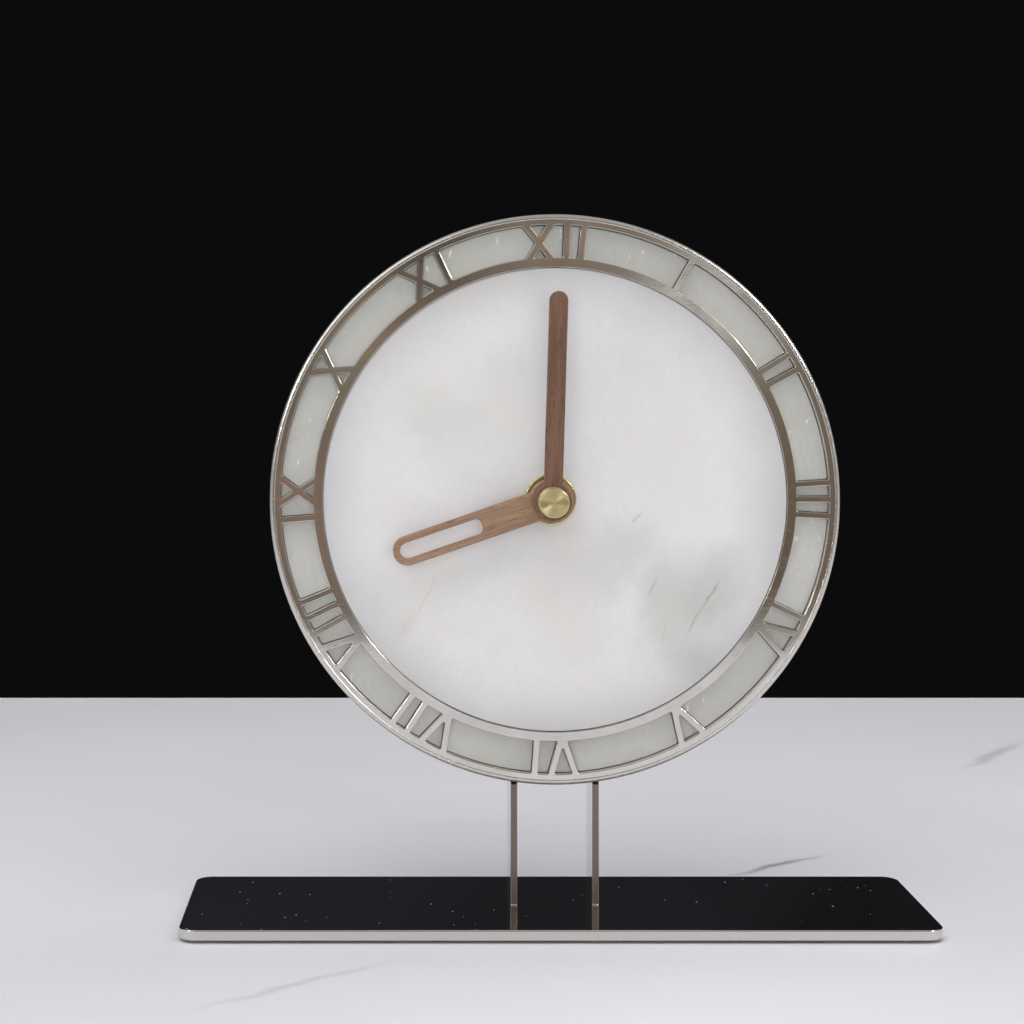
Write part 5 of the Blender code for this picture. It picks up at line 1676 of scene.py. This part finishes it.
    def cell(self) -> None:
        """The AA cell: a sleeve shrunk over rounded ends, a steel cap with its button, a steel base."""
        box = Box.of("battery")
        r, end = box.size.z / 2, box.size.x
        plane = Plane((box.low.x, box.middle.y, box.middle.z), (0, 1, 0), (0, 0, 1), (1, 0, 0))
        body_end = end - 1.0 * MM
        corners = np.array([[r - 1.1 * MM, 0.2 * MM], [r - 1.0 * MM, 0], [r, 0], [r, body_end],
                            [r - 1.6 * MM, body_end], [r - 1.7 * MM, body_end - 0.3 * MM]])
        profile = softened(corners, np.array([0, 0.1, 0.7, 0.8, 0.1, 0]) * MM, 5)
        sleeve = turned_mesh("cell_sleeve", profile, plane, 96)
        film = CellSleeve("cell_sleeve_shrunk_film", split=box.low.x + self.sleeve_split)
        show("cell_sleeve", sleeve, film, Body.CLOCK, ["battery"])
        button = np.array([[0, end], [2.5 * MM, end], [2.6 * MM, body_end - 0.1 * MM],
                           [r - 1.5 * MM, body_end - 0.12 * MM], [r - 1.5 * MM, body_end - 0.6 * MM],
                           [0, body_end - 0.6 * MM]])
        profile = softened(button[::-1], np.array([0, 0, 0.1, 0.2, 0.35, 0]) * MM, 4)
        show("cell_button", turned_mesh("cell_button", profile, plane, 64), Style.SPRING.value, Body.CLOCK)
        base = np.array([[0, 0.1], [4.5, 0.1], [5.0, 0.25], [6.0, 0.25], [6.0, 0.7], [0, 0.7]]) * MM
        rounding = np.array([0, 0.1, 0.1, 0.1, 0.1, 0]) * MM
        show("cell_base", turned_mesh("cell_base", softened(base, rounding, 3, 0.3), plane, 64),
             Style.SPRING.value, Body.CLOCK)
        self.contacts(box)

    def contacts(self, cell: Box) -> None:
        """Sprung contacts: a coil that narrows towards the cell, and a pressed blade.

        Coil point = (x along the axis, R cos t, R sin t), with R shrinking over three and a half turns.

        Args:
            cell: the battery's box.
        """
        low, high = Box.of("battery_contact_negative"), Box.of("battery_contact_positive")
        for name, box in (("negative", low), ("positive", high)):
            outline = rounded_box(box.size.y, box.size.z, 1.0 * MM, 5)
            plane = Plane((box.low.x, box.middle.y, box.middle.z), (0, 1, 0), (0, 0, 1), (1, 0, 0))
            mesh = plate_mesh(f"contact_{name}", [outline], box.size.x, plane, 0.1 * MM, 2)
            show(f"contact_{name}", mesh, Style.SPRING.value, Body.CLOCK,
                 [f"battery_contact_{name}"])
        share = np.linspace(0, 1, 160)
        t = share * 7 * np.pi
        radius = 3.6 * MM - 1.3 * MM * share
        x = low.high.x + 0.2 * MM + share * (cell.low.x - low.high.x - 0.45 * MM)
        path = np.stack([x, low.middle.y + radius * np.cos(t), low.middle.z + radius * np.sin(t)], 1)
        mesh = swept_mesh("contact_spring", path, 0.16 * MM, 8)
        show("contact_spring", mesh, Style.SPRING.value, Body.CLOCK)

    def dress_packed(self) -> None:
        """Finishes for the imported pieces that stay: washer, wheels, motor and circuit."""
        plan = {
            "rubber_washer": Style.RUBBER, "train_bridge": Style.BLACK_PLASTIC,
            "hour_wheel": Style.WHITE_PLASTIC, "intermediate_wheel": Style.WHITE_PLASTIC,
            "third_wheel": Style.WHITE_PLASTIC, "fourth_wheel": Style.WHITE_PLASTIC,
            "first_wheel": Style.WHITE_PLASTIC, "centre_wheel": Style.SHEET_BRASS, "rotor": Style.MAGNET,
            "stator_plate": Style.IRON, "coil_core": Style.IRON, "coil_winding": Style.COPPER,
            "circuit_board": Style.BOARD, "driver_chip": Style.RESIN, "quartz_crystal": Style.CAN,
        }
        for node, style in plan.items():
            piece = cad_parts[node]
            piece.data.materials.clear()
            piece.data.materials.append(style.value.material())
            LOG.info("%s: dressed as %s", node, style.value.name)


# ---- studio --------------------------------------------------------------------------------

@dataclass(frozen=True)
class Softbox:
    """One soft studio light."""

    name: str
    place: tuple[float, float, float]
    target: tuple[float, float, float]
    size: tuple[float, float]
    power: float
    colour: tuple[float, float, float] = (1, 1, 1)
    mirrored: bool = True

    def build(self) -> None:
        """Add the light, facing its target; one that isn't mirrored stays out of reflections."""
        data = bpy.data.lights.new(self.name, "AREA")
        data.shape = "RECTANGLE"
        data.size, data.size_y = self.size
        data.energy = self.power
        data.color = self.colour
        lamp = bpy.data.objects.new(self.name, data)
        bpy.context.scene.collection.objects.link(lamp)
        lamp.visible_glossy = self.mirrored
        lamp.location = self.place
        lamp.rotation_euler = (Vector(self.target) - Vector(self.place)).to_track_quat("-Z", "Y").to_euler()


@dataclass(frozen=True)
class TableMarble(Finish):
    """Table top of pale polished marble: nearly plain, with a few thin grey veins."""

    veins: tuple[Spot, ...] = (
        Spot((0.092, 0.068, 0), (0.034, 0.0032, 1.0), (0, 0, 0.65), 0.75, "7f8286"),
        Spot((0.240, 0.285, 0), (0.055, 0.006, 1.0), (0, 0, 0.93), 0.40, "8b8c90"),
        Spot((-0.086, -0.078, 0), (0.055, 0.0035, 1.0), (0, 0, 0.67), 0.25, "8b8c90"),
        Spot((-0.42, 0.33, 0), (0.16, 0.016, 1.0), (0, 0, 0.10), 0.22, "8b8c90"),
    )

    def dress(self, tree: bpy.types.NodeTree, shader: bpy.types.Node, place: bpy.types.NodeSocket) -> None:
        """Slow clouds with a few long soft veins.

        Args:
            tree: the material's node tree.
            shader: its Principled BSDF.
            place: object coordinates, in metres.
        """
        cloud = noise(tree, place, 260 * MM, 4.0, 0.3)
        base = ramp(tree, cloud, 0.35, 0.65, linear("dedde2"), linear("e6e5e9"))
        base = spotted(tree, wavy(tree, place, 30 * MM, 3.0 * MM), base, self.veins)
        tree.links.new(base, shader.inputs["Base Color"])
        shader.inputs["Roughness"].default_value = 0.40
        shader.inputs["Specular IOR Level"].default_value = 0.25


@dataclass(frozen=True)
class Glow(Finish):
    """A dim surface that only reflections see: two tones in slow patches, brighter to one side."""

    low: tuple[float, float, float] = (0.1, 0.1, 0.1)
    high: tuple[float, float, float] = (0.2, 0.2, 0.2)
    patch: float = 0.4
    tilt: tuple[float, float] = (0.0, 0.0)
    spots: tuple[Spot, ...] = ()

    def dress(self, tree: bpy.types.NodeTree, shader: bpy.types.Node, place: bpy.types.NodeSocket) -> None:
        """Noise and a sideways slope blend the two tones.

        Args:
            tree: the material's node tree.
            shader: its Principled BSDF.
            place: object coordinates, in metres.
        """
        wave = noise(tree, place, self.patch, 2.0, 0.4)
        side = add(tree, "ShaderNodeSeparateXYZ", {0: place}).outputs[0]
        slope, at = self.tilt
        lean = add(tree, "ShaderNodeMath", {0: side, 1: slope, 2: at}, operation="MULTIPLY_ADD").outputs[0]
        share = add(tree, "ShaderNodeMath", {0: ramp(tree, wave, 0.36, 0.64, 0.0, 1.0), 1: lean},
                    operation="ADD").outputs[0]
        tone = ramp(tree, share, 0.0, 1.0, (*self.low, 1.0), (*self.high, 1.0))
        tone = spotted(tree, wavy(tree, place, 0.10, 0.012), tone, self.spots)
        shader.inputs["Base Color"].default_value = (0, 0, 0, 1)
        shader.inputs["Specular IOR Level"].default_value = 0.0
        shader.inputs["Roughness"].default_value = 1.0
        shader.inputs["Emission Strength"].default_value = 1.0
        tree.links.new(tone, shader.inputs["Emission Color"])


@dataclass
class Studio:
    """Pale table, dark room, soft lights and the camera."""

    front: float = -0.70
    back: float = 0.451
    half_width: float = 1.5
    eye: tuple[float, float, float] = (-0.0566, -0.705, 0.1966)
    lens: float = 70.3
    shift: tuple[float, float] = (0.116, -0.151)
    dial: tuple[float, float, float] = (0.0, 0.0, 0.13)
    far_wall: float = -2.6
    reach: float = 2.4
    shapes: tuple[tuple[float, float, float, float, float, float, str], ...] = (
        (460, 290, 220, 140, 0, 1.0, "d6d5d1"), (0, 370, 140, 90, 0, 1.0, "2c2c2d"),
        (-130, 160, 120, 100, 0, 0.9, "a5a294"), (-70, 250, 80, 70, 0, 0.8, "a8866a"),
        (-190, -50, 160, 120, 0, 0.6, "a0806e"), (220, 400, 160, 90, 0, 0.8, "a48a7c"),
        (600, -20, 180, 160, 0, 0.6, "6c5848"), (120, 330, 60, 80, 0, 0.7, "8e8d88"))

    def build(self) -> None:
        """Build the table, the room, the lights and the camera."""
        self.table()
        self.room()
        self.lights()
        self.camera()
        bpy.context.scene.view_settings.view_transform = "Standard"

    def table(self) -> None:
        """A plain slab whose top is the ground the pads stand on."""
        width, depth = 2 * self.half_width, self.back - self.front
        plane = Plane((0, (self.back + self.front) / 2, 0), (1, 0, 0), (0, 1, 0), (0, 0, -1))
        mesh = plate_mesh("table_top", [rounded_box(width, depth, 20 * MM, 6)], 20 * MM, plane, 1.5 * MM, 3)
        mesh.materials.append(TableMarble("table_marble_polished").material())
        top = bpy.data.objects.new("table_top", mesh)
        bpy.context.scene.collection.objects.link(top)

    def room(self) -> None:
        """A nearly black room, with dim walls that only reflections see."""
        world = bpy.data.worlds.new("dark_room")
        bpy.context.scene.world = world
        world.use_nodes = True
        background = world.node_tree.nodes["Background"]
        background.inputs["Color"].default_value = (0.0036, 0.0036, 0.004, 1)
        warm = Glow("wall_warm", (0.12, 0.095, 0.068), (0.25, 0.195, 0.155), 0.16,
                    spots=tuple(Spot.upright((0, self.far_wall, 0), row) for row in self.shapes))
        plain = Glow("wall_plain", (0.16, 0.155, 0.15), (0.34, 0.335, 0.33), 0.5)
        pale = Glow("wall_pale", (0.34, 0.33, 0.32), (0.60, 0.59, 0.58), 0.6)
        cool = Glow("wall_cool", (0.010, 0.010, 0.0125), (0.026, 0.026, 0.032), 0.9, (-0.7, 0.1))
        bright = Glow("card_bright", (42.0, 41.5, 40.0), (48.0, 47.5, 46.0), 0.4)
        y, behind, reach = self.far_wall, self.far_wall - 0.02, self.reach
        upright = ((-1, 0), (1, 0), (1, 1), (-1, 1))
        near = [[a * 1.05, y, (-0.9, 0.5)[b]] for a, b in upright]
        upper = [[a * reach, behind, (-0.2, 1.3)[b]] for a, b in upright]
        self.wall("front_wall", near, warm)
        self.wall("upper_wall", upper, plain)
        self.wall("left_wall", [[-1.9, y, -0.2], [-1.9, 0.6, -0.2], [-1.9, 0.6, 1.6], [-1.9, y, 1.6]], pale)
        self.wall("right_wall", [[2.1, y, -0.2], [2.1, 0.5, -0.2], [2.1, 0.5, 1.4], [2.1, y, 1.4]], pale)
        sloping = [[-reach, y, 1.35], [reach, y, 1.35], [reach, 0.9, 2.2], [-reach, 0.9, 2.2]]
        self.wall("ceiling", sloping, pale)
        self.card("card_right", (1.15, -1.1, 0.85), (0.20, 0.20), bright)
        self.card("card_left", (-1.30, -1.1, 0.62), (0.12, 0.22), bright)
        self.wall("back_wall", [[-3, 3, 0.3], [3, 3, 0.3], [3, 3, 1.7], [-3, 3, 1.7]], cool)

    def card(self, name: str, centre: tuple[float, float, float], size: tuple[float, float],
             finish: Finish) -> None:
        """A bright card that faces the dial.

        Args:
            name: name of the card.
            centre: its middle.
            size: its width and height.
            finish: its glow.
        """
        out = np.array(centre) - self.dial
        out /= np.linalg.norm(out)
        across = np.cross(out, (0, 0, 1))
        across /= np.linalg.norm(across)
        up = np.cross(across, out)
        signs = np.array([[-1, -1], [1, -1], [1, 1], [-1, 1]]) * np.array(size) / 2
        self.wall(name, np.array(centre) + signs @ np.array([across, up]), finish)

    @staticmethod
    def wall(name: str, corners: Sequence[Sequence[float]], finish: Finish) -> None:
        """One flat card that neither the camera nor the stone sees.

        Args:
            name: name of the card.
            corners: its four corners.
            finish: its glow.
        """
        mesh = make_mesh(name, np.array(corners, float), [(0, 1, 2, 3)], closed=False)
        mesh.materials.append(finish.material())
        card = bpy.data.objects.new(name, mesh)
        bpy.context.scene.collection.objects.link(card)
        card.visible_camera = False
        card.visible_diffuse = False
        card.visible_shadow = False

    def lights(self) -> None:
        """Broad soft lights at the left, the right, overhead and in front."""
        for box in (
            Softbox("key_left", (-0.95, -0.80, 1.15), self.dial, (1.4, 1.1), 4.5),
            Softbox("fill_right", (1.0, -0.70, 0.95), self.dial, (0.7, 0.6), 3.0, (1, 0.98, 0.95)),
            Softbox("overhead", (0.12, -0.05, 1.5), (0.1, 0.0, 0), (2.3, 1.6), 28.0, (0.98, 0.985, 1), False),
            Softbox("front_fill", (0.0, -2.3, 0.55), self.dial, (2.8, 1.6), 23.0, mirrored=False),
        ):
            box.build()

    def camera(self) -> None:
        """The camera looks level along +Y; the framing is shifted, not tilted."""
        data = bpy.data.cameras.new("camera")
        data.lens = self.lens
        data.sensor_width = 36.0
        data.shift_x, data.shift_y = self.shift
        data.clip_start, data.clip_end = 0.01, 20.0
        camera = bpy.data.objects.new("camera", data)
        bpy.context.scene.collection.objects.link(camera)
        camera.location = self.eye
        camera.rotation_euler = (math.pi / 2, 0, 0)
        bpy.context.scene.camera = camera


def main() -> None:
    """Build the clock part by part, then the studio round it."""
    logging.basicConfig(level=logging.INFO, format="%(name)s %(message)s")
    Stand().build()
    Drum().build()
    Hand("hour_hand", Body.HOUR, "hour_walnut", angle=math.radians(251.0), length=58.0 * MM, width=10.3 * MM,
         boss=7.6 * MM, tones=("ac8b70", "8d6e56", "46332a"), log_depth=4.0 * MM, bush_bore=2.9 * MM,
         slot_span=(25.6 * MM, 55.5 * MM, 5.5 * MM)).build()
    Hand("minute_hand", Body.MINUTE, "minute_walnut", angle=math.radians(1.7), length=72.6 * MM,
         width=6.4 * MM, boss=6.6 * MM, tones=("85624c", "674838", "2e1f18"), log_depth=9.0 * MM,
         bush_bore=1.75 * MM).build()
    Fixings().build()
    Movement().build()
    Studio().build()


if __name__ == "__main__":
    main()
